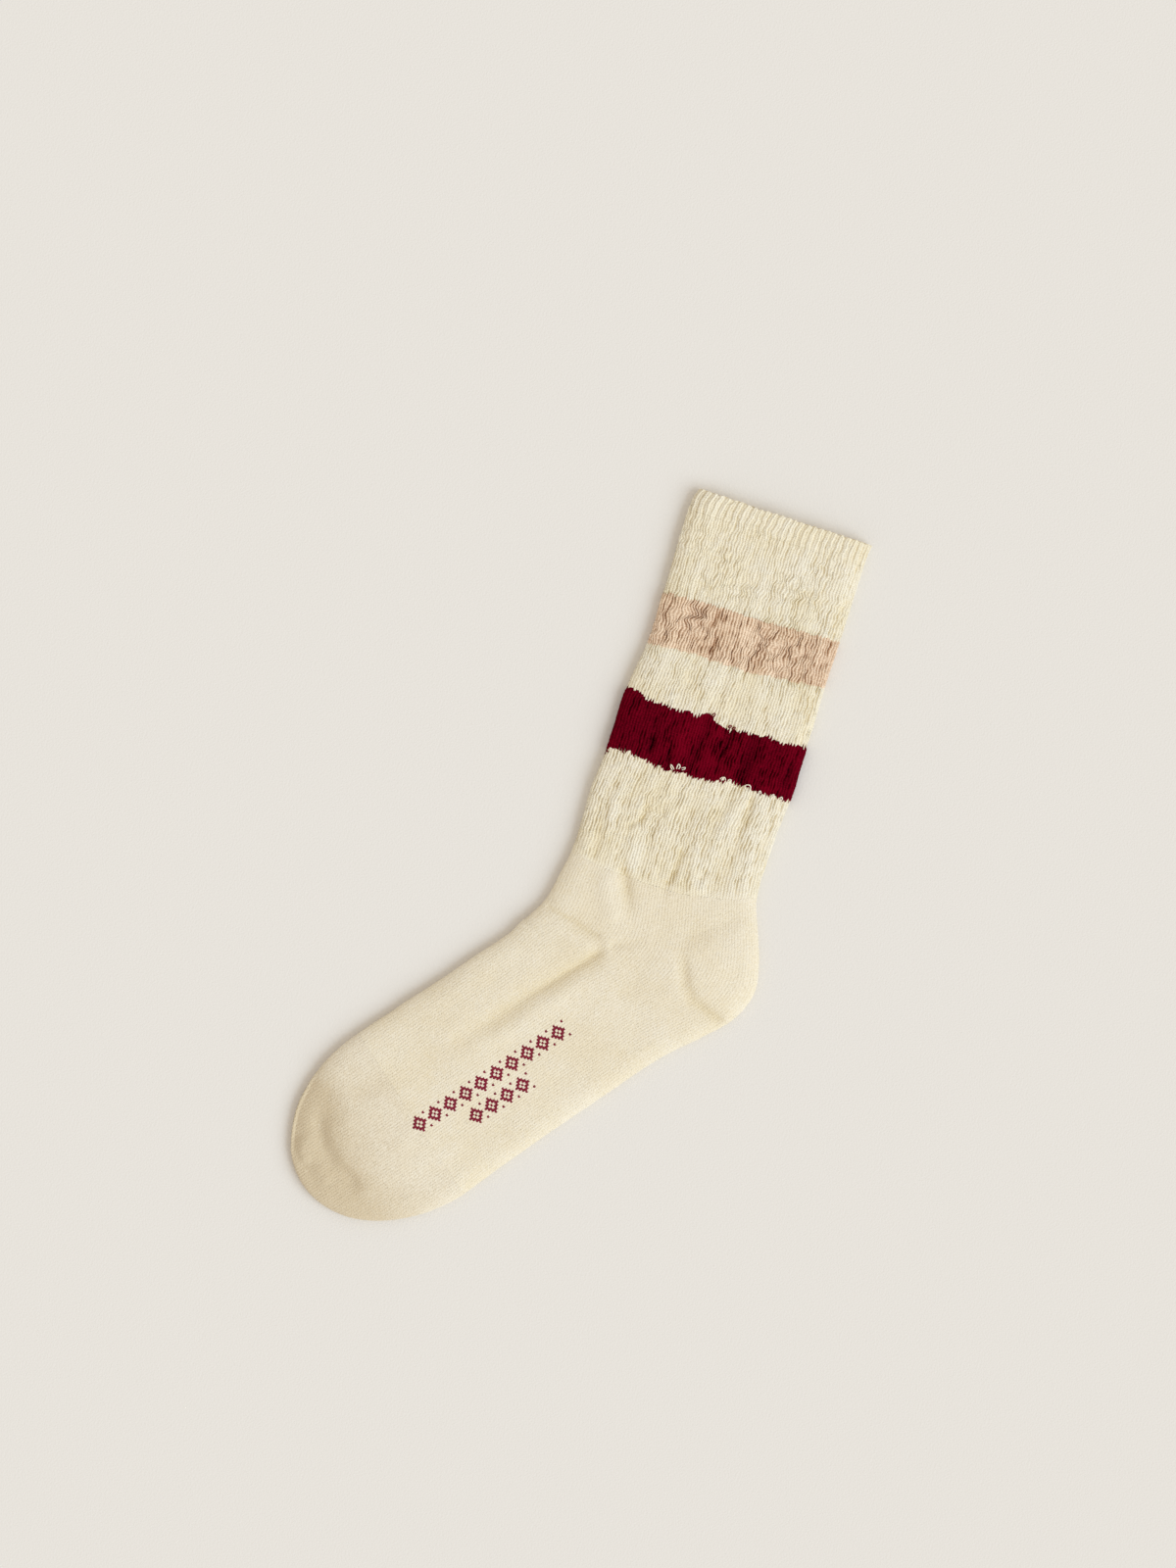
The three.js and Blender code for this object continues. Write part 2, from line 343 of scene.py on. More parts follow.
    def lozenges(self, tree: Tree, start: float, length: float, low: float) -> Socket:
        """1 on the stitches of a chain of lozenges along the foot, and 0 beside them.

        Args:
            tree: the material's node tree.
            start: where the chain starts along the foot.
            length: its length.
            low: its lower edge across the foot.

        Returns:
            The output socket.
        """
        chart = add_node(tree, "UVMap", uv_map="chart")
        down_foot, over_foot, _ = add_node(tree, "SeparateXYZ", chart).node.outputs
        from_low = add_node(tree, "Math", over_foot, low, operation="SUBTRACT")
        column = add_node(tree, "Math", from_low, self.CELL_WIDE, operation="DIVIDE")
        part = add_node(tree, "Math", column, operation="FRACT")
        side = add_node(tree, "Math", part, 0.5, operation="SUBTRACT")
        lean = add_node(tree, "Math", side, operation="ABSOLUTE")
        from_start = add_node(tree, "Math", down_foot, start, operation="SUBTRACT")
        upright = add_node(tree, "Math", from_start, self.CELL_LONG, operation="DIVIDE")
        course = add_node(tree, "Math", lean, self.STITCH_LEAN, upright, operation="MULTIPLY_ADD")
        whole_course = add_node(tree, "Math", course, operation="FLOOR")
        step = add_node(tree, "Math", whole_course, self.CHART_PITCH, operation="FLOORED_MODULO")
        from_middle = add_node(tree, "Math", step, self.CHART_PITCH / 2, operation="SUBTRACT")
        along = add_node(tree, "Math", from_middle, operation="ABSOLUTE")
        whole_column = add_node(tree, "Math", column, operation="FLOOR")
        from_centre = add_node(tree, "Math", whole_column, self.CHART_HALF, operation="SUBTRACT")
        across = add_node(tree, "Math", from_centre, operation="ABSOLUTE")
        steps_out = add_node(tree, "Math", along, across, operation="ADD")
        ring = add_node(tree, "Math", steps_out, self.RING, 0.6, operation="COMPARE")
        dot = add_node(tree, "Math", steps_out, 0.5, operation="LESS_THAN")
        is_end = add_node(tree, "Math", along, self.CHART_PITCH / 2 - 0.5, operation="GREATER_THAN")
        is_side = add_node(tree, "Math", across, self.CHART_HALF - 0.5, operation="GREATER_THAN")
        tick = add_node(tree, "Math", is_end, is_side, operation="MULTIPLY")
        lozenge = add_node(tree, "Math", ring, dot, operation="MAXIMUM")
        drawn = add_node(tree, "Math", lozenge, tick, operation="MAXIMUM")
        half = length / self.CELL_LONG / 2
        in_length = add_node(tree, "Math", course, half, half, operation="COMPARE")
        in_width = add_node(tree, "Math", across, self.CHART_HALF + 0.5, operation="LESS_THAN")
        inside = add_node(tree, "Math", in_length, in_width, operation="MULTIPLY")
        return add_node(tree, "Math", drawn, inside, operation="MULTIPLY")

    def bumps(self, tree: Tree, place: Socket, stitch: Socket) -> Socket:
        """The stitches, and the nap of loose fibres on them.

        Args:
            tree: the material's node tree.
            place: the place on the object.
            stitch: the height of the stitches.

        Returns:
            The normal.
        """
        size = 1 / (self.NAP_SIZE * MM)
        nap = add_node(tree, "TexNoise", inputs={"Vector": place, "Scale": size, "Detail": 2.0})
        fine = add_node(tree, "Bump", inputs={"Distance": self.nap_depth * MM, "Height": nap})
        knit = {"Distance": self.stitch_depth * MM, "Height": stitch, "Normal": fine}
        return add_node(tree, "Bump", inputs=knit)


# Undyed cotton knitted in ribs: warm off-white ridges, straw painted between them as shade and bounce light,
# and tone that drifts in patches
CREAM_RIB = CottonKnit("cream_cotton_rib_knit", "f5eedb", "e2d0a4", "f3e7c6", mottle_share=0.5)
# The same cotton dyed tan: pinkish ridges, and brown painted shade where two ribs part
TAN_RIB = CottonKnit("tan_cotton_rib_knit", "fde5c8", "ac7b50", "f2d6b2")
# The same cotton dyed burgundy, so deep that it is red on the ridges only, with near-black painted shade
# between them, and quite without shine
BURGUNDY_RIB = CottonKnit("burgundy_cotton_rib_knit", "78051c", "1c0006", "660418",
                          fuzz_share=0.65, sheen=0.0, gloss=0.0)
# Undyed cotton knitted plain: even and softly fuzzy, with a motif knitted in burgundy
CREAM_PLAIN = CottonKnit("cream_cotton_plain_knit", "f2e9d4", "e0cfa8", "eee0c0", stitch_depth=0.12,
                         column_share=0.7, nap_depth=0.45, fuzz_share=0.6, stitch_tint=0.15, chart="8a1030")
# The same cloth on the toe, with a darker, greyer valley colour that paints shade on it
CREAM_TOE = replace(CREAM_PLAIN, name="toe_shaded_cream_cotton_plain_knit", valley="d6c5a5")


@dataclass(frozen=True)
class StudioPaper:
    """Matt pale paper: one even tone with a fine tooth that keeps it from looking like plastic."""

    name: str = "matt_pale_paper"
    tone: str = "e8e4dd"
    tooth_size: float = 0.9  # mm
    tooth_depth: float = 0.14  # mm
    roughness: float = 0.9
    gloss: float = 0.1  # specular level

    def material(self) -> bpy.types.Material:
        """Builds the shader.

        Returns:
            The material.
        """
        even = {"Base_Color": colour(self.tone), "Specular_IOR_Level": self.gloss}
        shader = new_shader(self.name, Roughness=self.roughness, **even)
        tree = shader.id_data
        place = add_node(tree, "TexCoord", out="Object")
        size = 1 / (self.tooth_size * MM)
        tooth = add_node(tree, "TexNoise", inputs={"Vector": place, "Scale": size, "Detail": 2.0})
        bump = add_node(tree, "Bump", inputs={"Distance": self.tooth_depth * MM, "Height": tooth})
        tree.links.new(bump, shader.inputs["Normal"])
        return bpy.data.materials[self.name]


# ---------------------------------------------------------------- the sock's form

# Facing points of the front and the back fold, from the cuff round the ankle and the heel
LEG_FOLDS = (
    ((-6, 186), (77.8, 186.2)),  # cuff edge
    ((-8, 175.2), (77.2, 175.6)),  # end of the welt
    ((-7, 136.5), (77.9, 138.5)),  # top of the tan stripe
    ((-6.6, 112.5), (78, 115)),  # its end
    ((-8.8, 88), (78.8, 88)),  # top of the burgundy stripe
    ((-8.8, 58.5), (79.3, 61.5)),  # its end
    ((-9.6, 35), (78, 38)),
    ((-9.2, 9.5), (79.2, 14.5)),  # end of the rib
    ((-11, -2), (84.5, 0)),
    ((-12, -10), (89.7, -14)),
    ((-13.5, -17), (91.9, -28)),  # back of the heel
    ((-16, -22.5), (86.5, -42.5)),
    ((-19, -27.5), (75, -55)),
    ((-21, -30.2), (60, -70)),
)


class Line(Enum):
    """Named stations: numbers of the fold pairs where one stretch of cloth ends and the next starts."""

    CUFF = 0
    WELT_END = 1
    TAN_TOP = 2
    TAN_END = 3
    BURGUNDY_TOP = 4
    BURGUNDY_END = 5
    RIB_END = 7
    TOE_START = 17


@dataclass
class SockForm:
    """The smooth sock as it lies: two panels of cloth between a front and a back fold.

    A place on it is its length down from the cuff along the middle, and its share of the way
    round: 0 at the front fold, up to 0.5 over the upper panel, and back underneath to 1.
    """

    wall: float = 2.8
    panel_gap: float = 0.8
    dome: float = 1.1  # rise of the upper panel from its folds to its middle
    dome_reach: float = 12.0
    fold_round: float = 3.6
    shoulder: float = 9.0  # rounding of the upper panel towards its folds
    hollow_radius: float = 1.2
    foot_angle: float = 231.8  # degrees that the foot points, from +X
    instep_across: float = 4.0
    sole_across: float = 93.2
    sole_arch: float = 2.6
    foot_stations: tuple = (46.0, 68.0, 98.0, 128.0)
    toe_length: float = 60.1
    swells: tuple = (((62, -26), 34, 1.6), ((-52, -150), 34, 1.3), ((-30, -90), 40, 0.9))  # reach, rise
    table_step: float = 0.005  # stations between the entries of the length table
    normal_step: float = 0.4  # distance over which the cloth's slope is measured

    def __post_init__(self) -> None:
        """Lays out the folds and measures the middle line."""
        angle = math.radians(self.foot_angle)
        self.axis = np.array([math.cos(angle), math.sin(angle)])
        self.across = np.array([-self.axis[1], self.axis[0]])
        feet = [self.foot_pair(along) for along in self.foot_stations]
        self.front = np.array([pair[0] for pair in LEG_FOLDS] + [pair[0] for pair in feet], float)
        self.back = np.array([pair[1] for pair in LEG_FOLDS] + [pair[1] for pair in feet], float)
        self.stations = np.arange(0, Line.TOE_START.value + self.table_step / 2, self.table_step)
        middle = (spline(self.front, self.stations) + spline(self.back, self.stations)) / 2
        steps = np.linalg.norm(np.diff(middle, axis=0), axis=1)
        self.lengths = np.concatenate([[0], np.cumsum(steps)])

    def foot_pair(self, along: float) -> tuple[Points, Points]:
        """The ends of a section across the straight foot.

        Args:
            along: the section's place along the foot.

        Returns:
            The ends at the instep and at the sole.
        """
        first, last = self.foot_stations[0], self.foot_stations[-1]
        arch = self.sole_arch * math.cos(math.pi / 2 * (along - first) / (last - first))
        start = self.axis * along
        return start + self.across * self.instep_across, start + self.across * (self.sole_across - arch)

    def length_at(self, station: float) -> float:
        """Length down the middle line at a station."""
        return float(np.interp(station, self.stations, self.lengths))

    @property
    def foot_middle(self) -> float:
        """Place across the foot of its middle line."""
        return (self.instep_across + self.sole_across) / 2

    @property
    def foot_half(self) -> float:
        """Half width of the foot where the toe starts."""
        return (self.sole_across - self.instep_across) / 2

    @property
    def fold_slack(self) -> float:
        """Cloth that goes round a fold beyond the outline's half width."""
        return self.fold_round * (math.pi / 2 - 1)

    @property
    def foot_round(self) -> float:
        """Half of the way round the foot, where the toe starts."""
        return self.sole_across - self.instep_across + 2 * self.fold_slack

    @property
    def toe_at(self) -> float:
        """Length at which the toe's half ellipse starts."""
        return float(self.lengths[-1])

    def ends(self, length: Points, inset: float) -> tuple[Points, Points]:
        """Ends of the section at each length, drawn in by inset.

        Args:
            length: lengths down from the cuff.
            inset: distance in from the outside.

        Returns:
            The front and the back ends.
        """
        station = np.interp(length, self.lengths, self.stations)
        front, back = spline(self.front, station), spline(self.back, station)
        unit = back - front
        unit /= np.linalg.norm(unit, axis=-1, keepdims=True)
        front, back = front + unit * inset, back - unit * inset
        beyond = np.clip((length - self.toe_at) / self.toe_length, 0, 1)[..., None]
        along = self.foot_stations[-1] + beyond * (self.toe_length - inset)
        half = (self.foot_half - inset) * np.sqrt(1 - beyond**2)
        is_toe = beyond > 0
        front = np.where(is_toe, self.axis * along + self.across * (self.foot_middle - half), front)
        back = np.where(is_toe, self.axis * along + self.across * (self.foot_middle + half), back)
        return front, back

    def room(self, x: Points, y: Points, fold_distance: Points) -> Points:
        """Room between the two panels.

        Args:
            x: places along X.
            y: places along Y.
            fold_distance: distances in from the outline.

        Returns:
            The room at each place.
        """
        gap = self.panel_gap + self.dome * (1 - np.exp(-fold_distance / self.dome_reach))
        for (at_x, at_y), reach, rise in self.swells:
            away = np.clip(np.hypot(x - at_x, y - at_y) / reach, 0, 1)
            gap = gap + rise * np.cos(away * math.pi / 2) ** 2
        return gap

    def at(self, length: Points, share: Points, shift: Points = 0.0, is_inner: bool = False) -> Points:
        """Places on the outside or the inside of the cloth.

        Args:
            length: lengths down from the cuff.
            share: shares of the way round.
            shift: distance moved on along the way round.
            is_inner: whether the place is on the inside.

        Returns:
            One point for each place.
        """
        inset = self.wall if is_inner else 0.0
        radius = self.hollow_radius if is_inner else self.fold_round
        front, back = self.ends(length, inset)
        width = np.linalg.norm(back - front, axis=-1)
        radius = np.minimum(radius, width / 2 + TINY)
        bend = radius * math.pi / 2
        half_way = width + 2 * (bend - radius)
        way = (share * 2 * half_way + shift) % np.maximum(2 * half_way, TINY)
        is_upper = way < half_way
        along_panel = np.where(is_upper, way, 2 * half_way - way)
        near = np.minimum(along_panel, half_way - along_panel)
        turned = radius * (1 - np.cos(np.clip(near / np.maximum(bend, TINY), 0, 1) * math.pi / 2))
        distance = np.where(near < bend, turned, radius + near - bend)
        across = np.where(along_panel < half_way / 2, distance, width - distance)
        flat = front + (back - front) * (across / np.maximum(width, TINY))[..., None]
        distance = np.where(length > self.toe_at, self.toe_distance(flat, inset), distance)
        rounding = radius if is_inner else np.where(is_upper, self.shoulder, self.fold_round)
        rise = np.sqrt(1 - (1 - np.clip(distance / rounding, 0, 1)) ** 2)
        height = self.height(flat, distance + inset, rise, is_upper, is_inner)
        return np.concatenate([flat, height[..., None]], axis=-1)

    def toe_distance(self, flat: Points, inset: float) -> Points:
        """Distance in from the toe's ellipse.

        Args:
            flat: places in the plane of the floor.
            inset: how far the ellipse is drawn in.

        Returns:
            The distance at each place.
        """
        along = flat @ self.axis - self.foot_stations[-1]
        across = flat @ self.across - self.foot_middle
        long, wide = self.toe_length - inset, self.foot_half - inset
        ring = np.hypot(along / long, across / wide)
        slope = np.hypot(along / long**2, across / wide**2) / np.maximum(ring, TINY)
        return np.maximum(1 - ring, 0) / np.maximum(slope, TINY)

    def height(
        self, flat: Points, distance: Points, rise: Points, is_upper: Points, is_inner: bool
    ) -> Points:
        """Height of the cloth's surface over the floor.

        Args:
            flat: places in the plane of the floor.
            distance: distances in from the outline.
            rise: shares of the full height, which round the folds.
            is_upper: whether each place is on the upper panel.
            is_inner: whether the places are on the inside.

        Returns:
            The heights.
        """
        room = self.room(flat[..., 0], flat[..., 1], distance)
        if is_inner:
            return self.wall + room / 2 * (1 + np.where(is_upper, rise, -rise))
        middle = self.wall + self.panel_gap
        top = middle + (2 * self.wall + room - middle) * rise
        return np.where(is_upper, top, middle * (1 - rise))

    def outward(self, length: Points, share: Points, shift: Points) -> tuple[Points, Points]:
        """Places on the outside and the directions that point away from the cloth there.

        Args:
            length: lengths down from the cuff.
            share: shares of the way round.
            shift: distance moved on along the way round.

        Returns:
            The places, and the directions.
        """
        step = self.normal_step
        at = self.at(length, share, shift)
        down = self.at(np.minimum(length + step, self.toe_at + self.toe_length), share, shift)
        up = self.at(np.maximum(length - step, 0), share, shift)
        left, right = self.at(length, share, shift - step), self.at(length, share, shift + step)
        normal = np.cross(down - up, right - left)
        size = np.linalg.norm(normal, axis=-1, keepdims=True)
        return at, normal / np.maximum(size, TINY)


# ---------------------------------------------------------------- relief


@dataclass(frozen=True)
class Crease:
    """A soft trough, or a ridge where its depth is negative, laid along a given route."""

    route: tuple
    half: float  # half width, as far as most of its depth reaches
    depth: float
    fade: tuple = (0.25, 0.25)  # shares of the route over which it dies out at its start and its end

    def rise(self, x: Points, y: Points) -> Points:
        """Height that the crease adds.

        Args:
            x: places along X.
            y: places along Y.

        Returns:
            The height at each place.
        """
        away, share = along_route(self.route, x, y)
        start, end = self.fade
        strength = smooth_step(-1e-3, start, share) * smooth_step(-1e-3, end, 1 - share)
        return -self.depth * strength * np.exp(-((away / self.half) ** 2))


UNDER_SHARE = 0.4  # share of the creases' depth that the under panel shows


def creases_rise(at: Points, normal: Points) -> Points:
    """Height that all creases of the upper panel add, and part of it in the same places underneath.

    Args:
        at: places on the cloth.
        normal: directions that point away from it, where a crease dies out as they turn sideways.

    Returns:
        The height along the normal at each place.
    """
    total = sum(crease.rise(at[..., 0], at[..., 1]) for crease in RIB_CREASES + PLAIN_CREASES)
    upward = normal[..., 2]
    return total * np.abs(upward) * np.where(upward > 0, 1.0, UNDER_SHARE)


# Creases of the ribs: route, half width, depth
RIB_CREASES = (
    Crease(((16.9, 42.9), (16.9, 32.8), (10.4, 24.9)), 1.5, 0.9),
    Crease(((39.4, 28.4), (39.2, 20.6), (38.3, 6)), 1.7, 1.0),
    Crease(((54.1, 20.4), (50.7, 13.5)), 1.6, 1.0),
    Crease(((61.8, 60.3), (63.9, 42.8)), 1.6, 0.8),
    Crease(((10.8, 71.1), (9.7, 61.6)), 1.2, 1.0),
    Crease(((18.6, 67.9), (19.9, 61.2)), 1.2, 0.9),
    Crease(((40.4, 80), (37.7, 71)), 1.4, 1.1),
    Crease(((44, 77.9), (42.1, 70.5)), 1.2, 1.0),
    Crease(((74.9, 80.1), (73.6, 66.7)), 1.4, 0.9),
    Crease(((20.9, 136.8), (20.2, 131), (18.9, 125.6)), 1.1, 1.3),
    Crease(((24.6, 135), (23.1, 129.8)), 1.0, 1.1),
    Crease(((23.4, 123.7), (22.1, 114)), 1.2, 1.1),
)

# Routes of the foot's main creases
ANKLE_FOLD = ((-11.7, -19.4), (4.3, -22.7), (14.8, -25.4), (20.8, -27.7))
INSTEP_TROUGH = ((21.0, -28.2), (11.5, -40.0), (-5.0, -59.4), (-16.2, -74.6), (-30.5, -91.9), (-51.1, -113.6))
HEEL_ARC = ((50.3, -16.9), (56.3, -25.0), (60.5, -34.5), (66.0, -39.5), (72.9, -41.8), (84.0, -45.5))
TOE_TROUGH = ((-82.5, -139), (-79.5, -149), (-74.5, -158.5), (-67, -164.5), (-59, -168), (-50, -174))

# Creases of the foot: route, half width, depth, fades; a negative depth is a ridge
PLAIN_CREASES = (
    Crease(ANKLE_FOLD, 0.9, 0.7, (0.0, 0.3)),
    Crease(ANKLE_FOLD, 3.6, 0.5, (0.0, 0.3)),
    Crease(((-9, -25), (6, -29), (17, -33)), 4.0, -0.45),
    Crease(INSTEP_TROUGH[:4], 1.6, 0.6, (0.12, 0.6)),
    Crease(INSTEP_TROUGH, 4.6, 1.2, (0.08, 0.6)),
    Crease(((19.1, -44.1), (5.2, -59.8), (-6.7, -75.8), (-20.6, -91.4)), 5.0, -0.5),
    Crease(((20.8, -27.7), (29.8, -24.3), (38.2, -20.9)), 2.2, 0.6, (0.1, 0.7)),
    Crease(((13.5, 16.0), (17.0, 6.5), (21.5, -2.6), (27.4, -13.1)), 2.8, 1.35, (0.3, 0.5)),
    Crease(((8.0, 6.0), (14.0, -8.0), (22.0, -18.0)), 5.0, -0.9),
    Crease(((37.0, 9.5), (38.5, -3.1)), 2.2, 0.5, (0.05, 0.7)),
    Crease(HEEL_ARC, 3.0, 1.2, (0.35, 0.1)),
    Crease(HEEL_ARC[3:], 0.9, 0.5, (0.3, 0.0)),
    Crease(((50.3, -16.9), (68.0, -0.9), (81.6, 8.4)), 4.5, 0.5, (0.2, 0.2)),
    Crease(TOE_TROUGH, 3.7, 1.8, (0.25, 0.2)),
    Crease(((-86.0, -155.0), (-83.5, -163.0), (-79.5, -169.5)), 3.4, -1.0, (0.3, 0.3)),
    Crease(((-72.5, -169.0), (-69.0, -171.0)), 2.8, -0.7, (0.0, 0.0)),
    Crease(((-68.5, -142.0), (-67.0, -143.0)), 2.6, -0.4, (0.0, 0.0)),
    Crease(((-86, -122), (-94, -146), (-91, -168), (-74, -188)), 17.0, 2.1, (0.2, 0.25)),
    Crease(((-51.1, -113.6), (-62.7, -123.3), (-72.6, -133.8)), 6.0, 0.5, (0.3, 0.3)),
)


def profile(points: tuple, at: Points) -> Points:
    """A value between given points of (place, value), in rising order of place."""
    places, values = zip(*points)
    return np.interp(at, places, values)


@dataclass
class RibRelief:
    """Ribs, rib groups and crinkles of the leg, on columns that each follow one side of a wale.

    The profiles give a strength at lengths down from the cuff.
    """

    # Patches of puckers and of fine creases that run like worms
    CRINKLE = ((0, 0.3), (12, 0.8), (30, 1.0), (46, 0.9), (60, 1.0), (72, 0.8), (78, 0.6), (95, 0.5),
               (99, 0.2), (124, 0.2), (130, 0.45), (150, 0.4), (168, 0.2), (173, 0.0))
    # Grooves where two ribs part
    SPLITS = ((0, 0.25), (10, 0.5), (46, 0.72), (50, 1.25), (72, 1.25), (77, 0.75), (98, 0.75), (101, 1.1),
              (126, 1.1), (130, 0.75), (150, 0.8), (178, 0.7))
    # Single ribs
    RIBS = ((0, 0.1), (12, 0.1), (47, 0.11), (50, 0.3), (72, 0.3), (76, 0.11), (99, 0.11), (102, 0.17),
            (125, 0.17), (130, 0.12), (178, 0.13))
    # Wide soft folds along the leg
    FOLDS = ((0, 0.3), (12, 0.4), (46, 0.4), (72, 0.4), (98, 0.4), (103, 0.7), (122, 0.7), (128, 0.45),
             (135, 0.6), (178, 0.7))
    # The burgundy yarn is thicker, so its stripe stands proud
    LIFT = ((97.5, 0), (99.5, 0.45), (125.5, 0.45), (127.5, 0))
    # Knots of twisted ribs: wale, length down, and reach in wales and in millimetres
    SQUIRMS = ((7.5, 62, 6, 7), (43, 62, 7, 9), (14, 57, 4, 6), (30, 38, 6, 6), (50, 34, 7, 7),
               (24, 150, 5, 8))
    SPLIT_SHAPE = ((0, 1.0), (0.25, 0.45), (0.5, 0.05))  # wales from the gap between two ribs, depth
    RIB_SHAPE = ((0, -1.0), (0.25, 0.3), (0.5, 0.75))  # the same, height

    wales: int = 132
    sides: int = 4  # columns to a wale
    fluff: float = 0.075  # height of the loose fibres that break up the ribs
    lobes: int = 54  # stronger ribs of the welt
    lobe_height: float = 0.24
    pucker_height: float = 0.34
    worm_depth: float = 0.3
    worm_width: float = 0.22
    seed: int = 7

    def __post_init__(self) -> None:
        """Draws the noises."""
        self.noises = [Noise(self.seed + i) for i in range(10)]

    def swell(self, number: int, wale: Points, length: Points, wide: int, long: float = 1.0) -> Points:
        """Noise that closes round the leg, with a swell for so many wales and so many millimetres."""
        return self.noises[number].at(wale / wide, length / long, self.wales // wide)

    def knots(self, wale: Points, length: Points) -> Points:
        """Strength of the knots of twisted ribs.

        Args:
            wale: wales round from the front fold.
            length: length down from the cuff.

        Returns:
            The strength at each place.
        """
        knot = np.zeros(np.shape(length))
        for at_wale, at_length, wide, long in self.SQUIRMS:
            knot = knot + np.exp(-(((wale - at_wale) / wide) ** 2) - ((length - at_length) / long) ** 2)
        return knot

    def splits(self, wale: Points, length: Points, off_gap: Points) -> Points:
        """Depth of the grooves where two ribs part.

        Args:
            wale: wales round from the front fold.
            length: length down from the cuff.
            off_gap: wales to the nearest gap between two ribs.

        Returns:
            The depth at each place.
        """
        gap = 2 * (np.floor(wale + 0.5) % self.wales) + 0.5
        wrap = 2 * self.wales
        groove = 0.45 * self.noises[4].at(gap, length / 8.5, wrap)
        groove = groove + 0.5 * self.noises[8].at(gap, length / 3.4, wrap)
        split = smooth_step(-0.05, 0.55, groove + 0.3 * self.swell(7, wale, length, 4, 12))
        return profile(self.SPLITS, length) * split * profile(self.SPLIT_SHAPE, off_gap)

    def fields(self, wale: Points, length: Points) -> tuple[Points, Points]:
        """Sideways shift and height of the cloth at each place, without the hand-laid creases.

        Args:
            wale: wales round from the front fold.
            length: length down from the cuff.

        Returns:
            The shift along the way round, and the height.
        """
        swell = partial(self.swell, wale=wale, length=length)
        patch = smooth_step(-0.45, 0.35, swell(0, wide=12, long=15)) * profile(self.CRINKLE, length)
        knot = self.knots(wale, length)
        drift = 0.7 * swell(1, wide=12, long=34) + 0.3 * swell(2, wide=6, long=13)
        squirm = (0.3 + 0.6 * patch + 1.5 * knot) * swell(3, wide=4, long=3.6)
        squirm = squirm + 0.2 * swell(9, wide=2, long=2.2)
        off_gap = np.abs(wale - np.floor(wale + 0.5))
        folds = swell(5, wide=6, long=45) + 0.6 * swell(8, wide=3, long=26)
        puckers = self.pucker_height * swell(6, wide=3, long=3.2)
        bent = length / 2.6 + 0.8 * swell(3, wide=4, long=6)
        worms = self.worm_depth * np.exp(-((self.swell(7, wale, bent, 2) / self.worm_width) ** 2))
        height = -self.splits(wale, length, off_gap)
        height = height + profile(self.FOLDS, length) * folds + profile(self.LIFT, length)
        height = height + (patch + 0.7 * knot) * (puckers - worms)
        welt = smooth_step(20, 6, length)
        height = height + self.lobe_height * welt * np.cos(TURN * self.lobes * wale / self.wales)
        ribs = profile(self.RIBS, length) * (1 + 0.9 * swell(9, wide=3, long=6))
        fluff = np.random.default_rng(self.seed).normal(0, self.fluff, np.shape(length))
        return drift + squirm, height + ribs * profile(self.RIB_SHAPE, off_gap) + fluff


@dataclass
class PlainRelief:
    """Soft swells and the even tooth of the plain knit foot."""

    SWELLS = ((26.0, 0.35), (9.0, 0.16), (2.1, 0.07))  # size, height

    seed: int = 31
    offset: float = 400.0  # keeps the foot on the positive side of the noise

    def __post_init__(self) -> None:
        """Draws the noises."""
        self.noises = [Noise(self.seed + i) for i in range(len(self.SWELLS))]

    def height(self, at: Points) -> Points:
        """Height added at each place of the foot.

        Args:
            at: places on the cloth.

        Returns:
            The height at each place.
        """
        x, y = at[..., 0] + self.offset, at[..., 1] + self.offset
        pairs = zip(self.noises, self.SWELLS)
        return sum(height * noise.at(x / size, y / size) for noise, (size, height) in pairs)


# ---------------------------------------------------------------- meshes

OFF_CHART = -100.0  # a place across the foot where there is no charted motif
BRIGHTEST_PAINTED_LIGHT = 1.2  # relief tone of the most painted light, at which the yarn is palest
LEAST_HEIGHT = 0.03  # mm by which the cloth's underside clears the floor
WELD_REACH = 1e-6  # metres
STRAY_LENGTH = 1e-8


def grid_quads(rows: int, columns: int) -> Points:
    """Corner numbers of a grid's faces, which point out of the sock; the last column joins the first.

    Args:
        rows: rows of points.
        columns: points in a row.

    Returns:
        Four corners for each face.
    """
    row, column = np.meshgrid(np.arange(rows - 1), np.arange(columns), indexing="ij")
    here, below = row * columns, (row + 1) * columns
    beside = (column + 1) % columns
    return np.stack([here + column, below + column, below + beside, here + beside], axis=-1).reshape(-1, 4)


def build_mesh(name: str, points: Points, quads: Points) -> bpy.types.Object:
    """Makes a mesh object from points in millimetres and four-cornered faces.

    Args:
        name: the object's name.
        points: its points.
        quads: corner numbers of each face.

    Returns:
        The object, linked to the scene.
    """
    mesh = bpy.data.meshes.new(name)
    mesh.vertices.add(len(points))
    mesh.vertices.foreach_set("co", (points * MM).astype(np.float32).ravel())
    mesh.loops.add(quads.size)
    mesh.loops.foreach_set("vertex_index", quads.astype(np.int32).ravel())
    mesh.polygons.add(len(quads))
    mesh.polygons.foreach_set("loop_start", np.arange(0, quads.size, 4, dtype=np.int32))
    mesh.polygons.foreach_set("use_smooth", np.ones(len(quads), bool))
    mesh.update(calc_edges=True)
    piece = bpy.data.objects.new(name, mesh)
    bpy.context.scene.collection.objects.link(piece)
    return piece


def build_tube(name: str, points: Points, rims: list[int]) -> bpy.types.Object:
    """Makes a closed piece from rings of points that go down the outside and back up the inside.

    Args:
        name: the object's name.
        points: rings x columns x 3.
        rims: numbers of the rings along the cut edges of the cloth.

    Returns:
        The object.
    """
    rings, columns = points.shape[:2]
    quads = grid_quads(rings, columns)
    closing = quads[:columns].copy()
    closing[:, [0, 3]] += (rings - 1) * columns
    closing[:, [1, 2]] -= columns
    piece = build_mesh(name, points.reshape(-1, 3), np.concatenate([quads, closing]))
    is_rim = np.zeros((rings, columns), bool)
    is_rim[rims] = True
    mark_rims(piece, is_rim.ravel())
    return piece


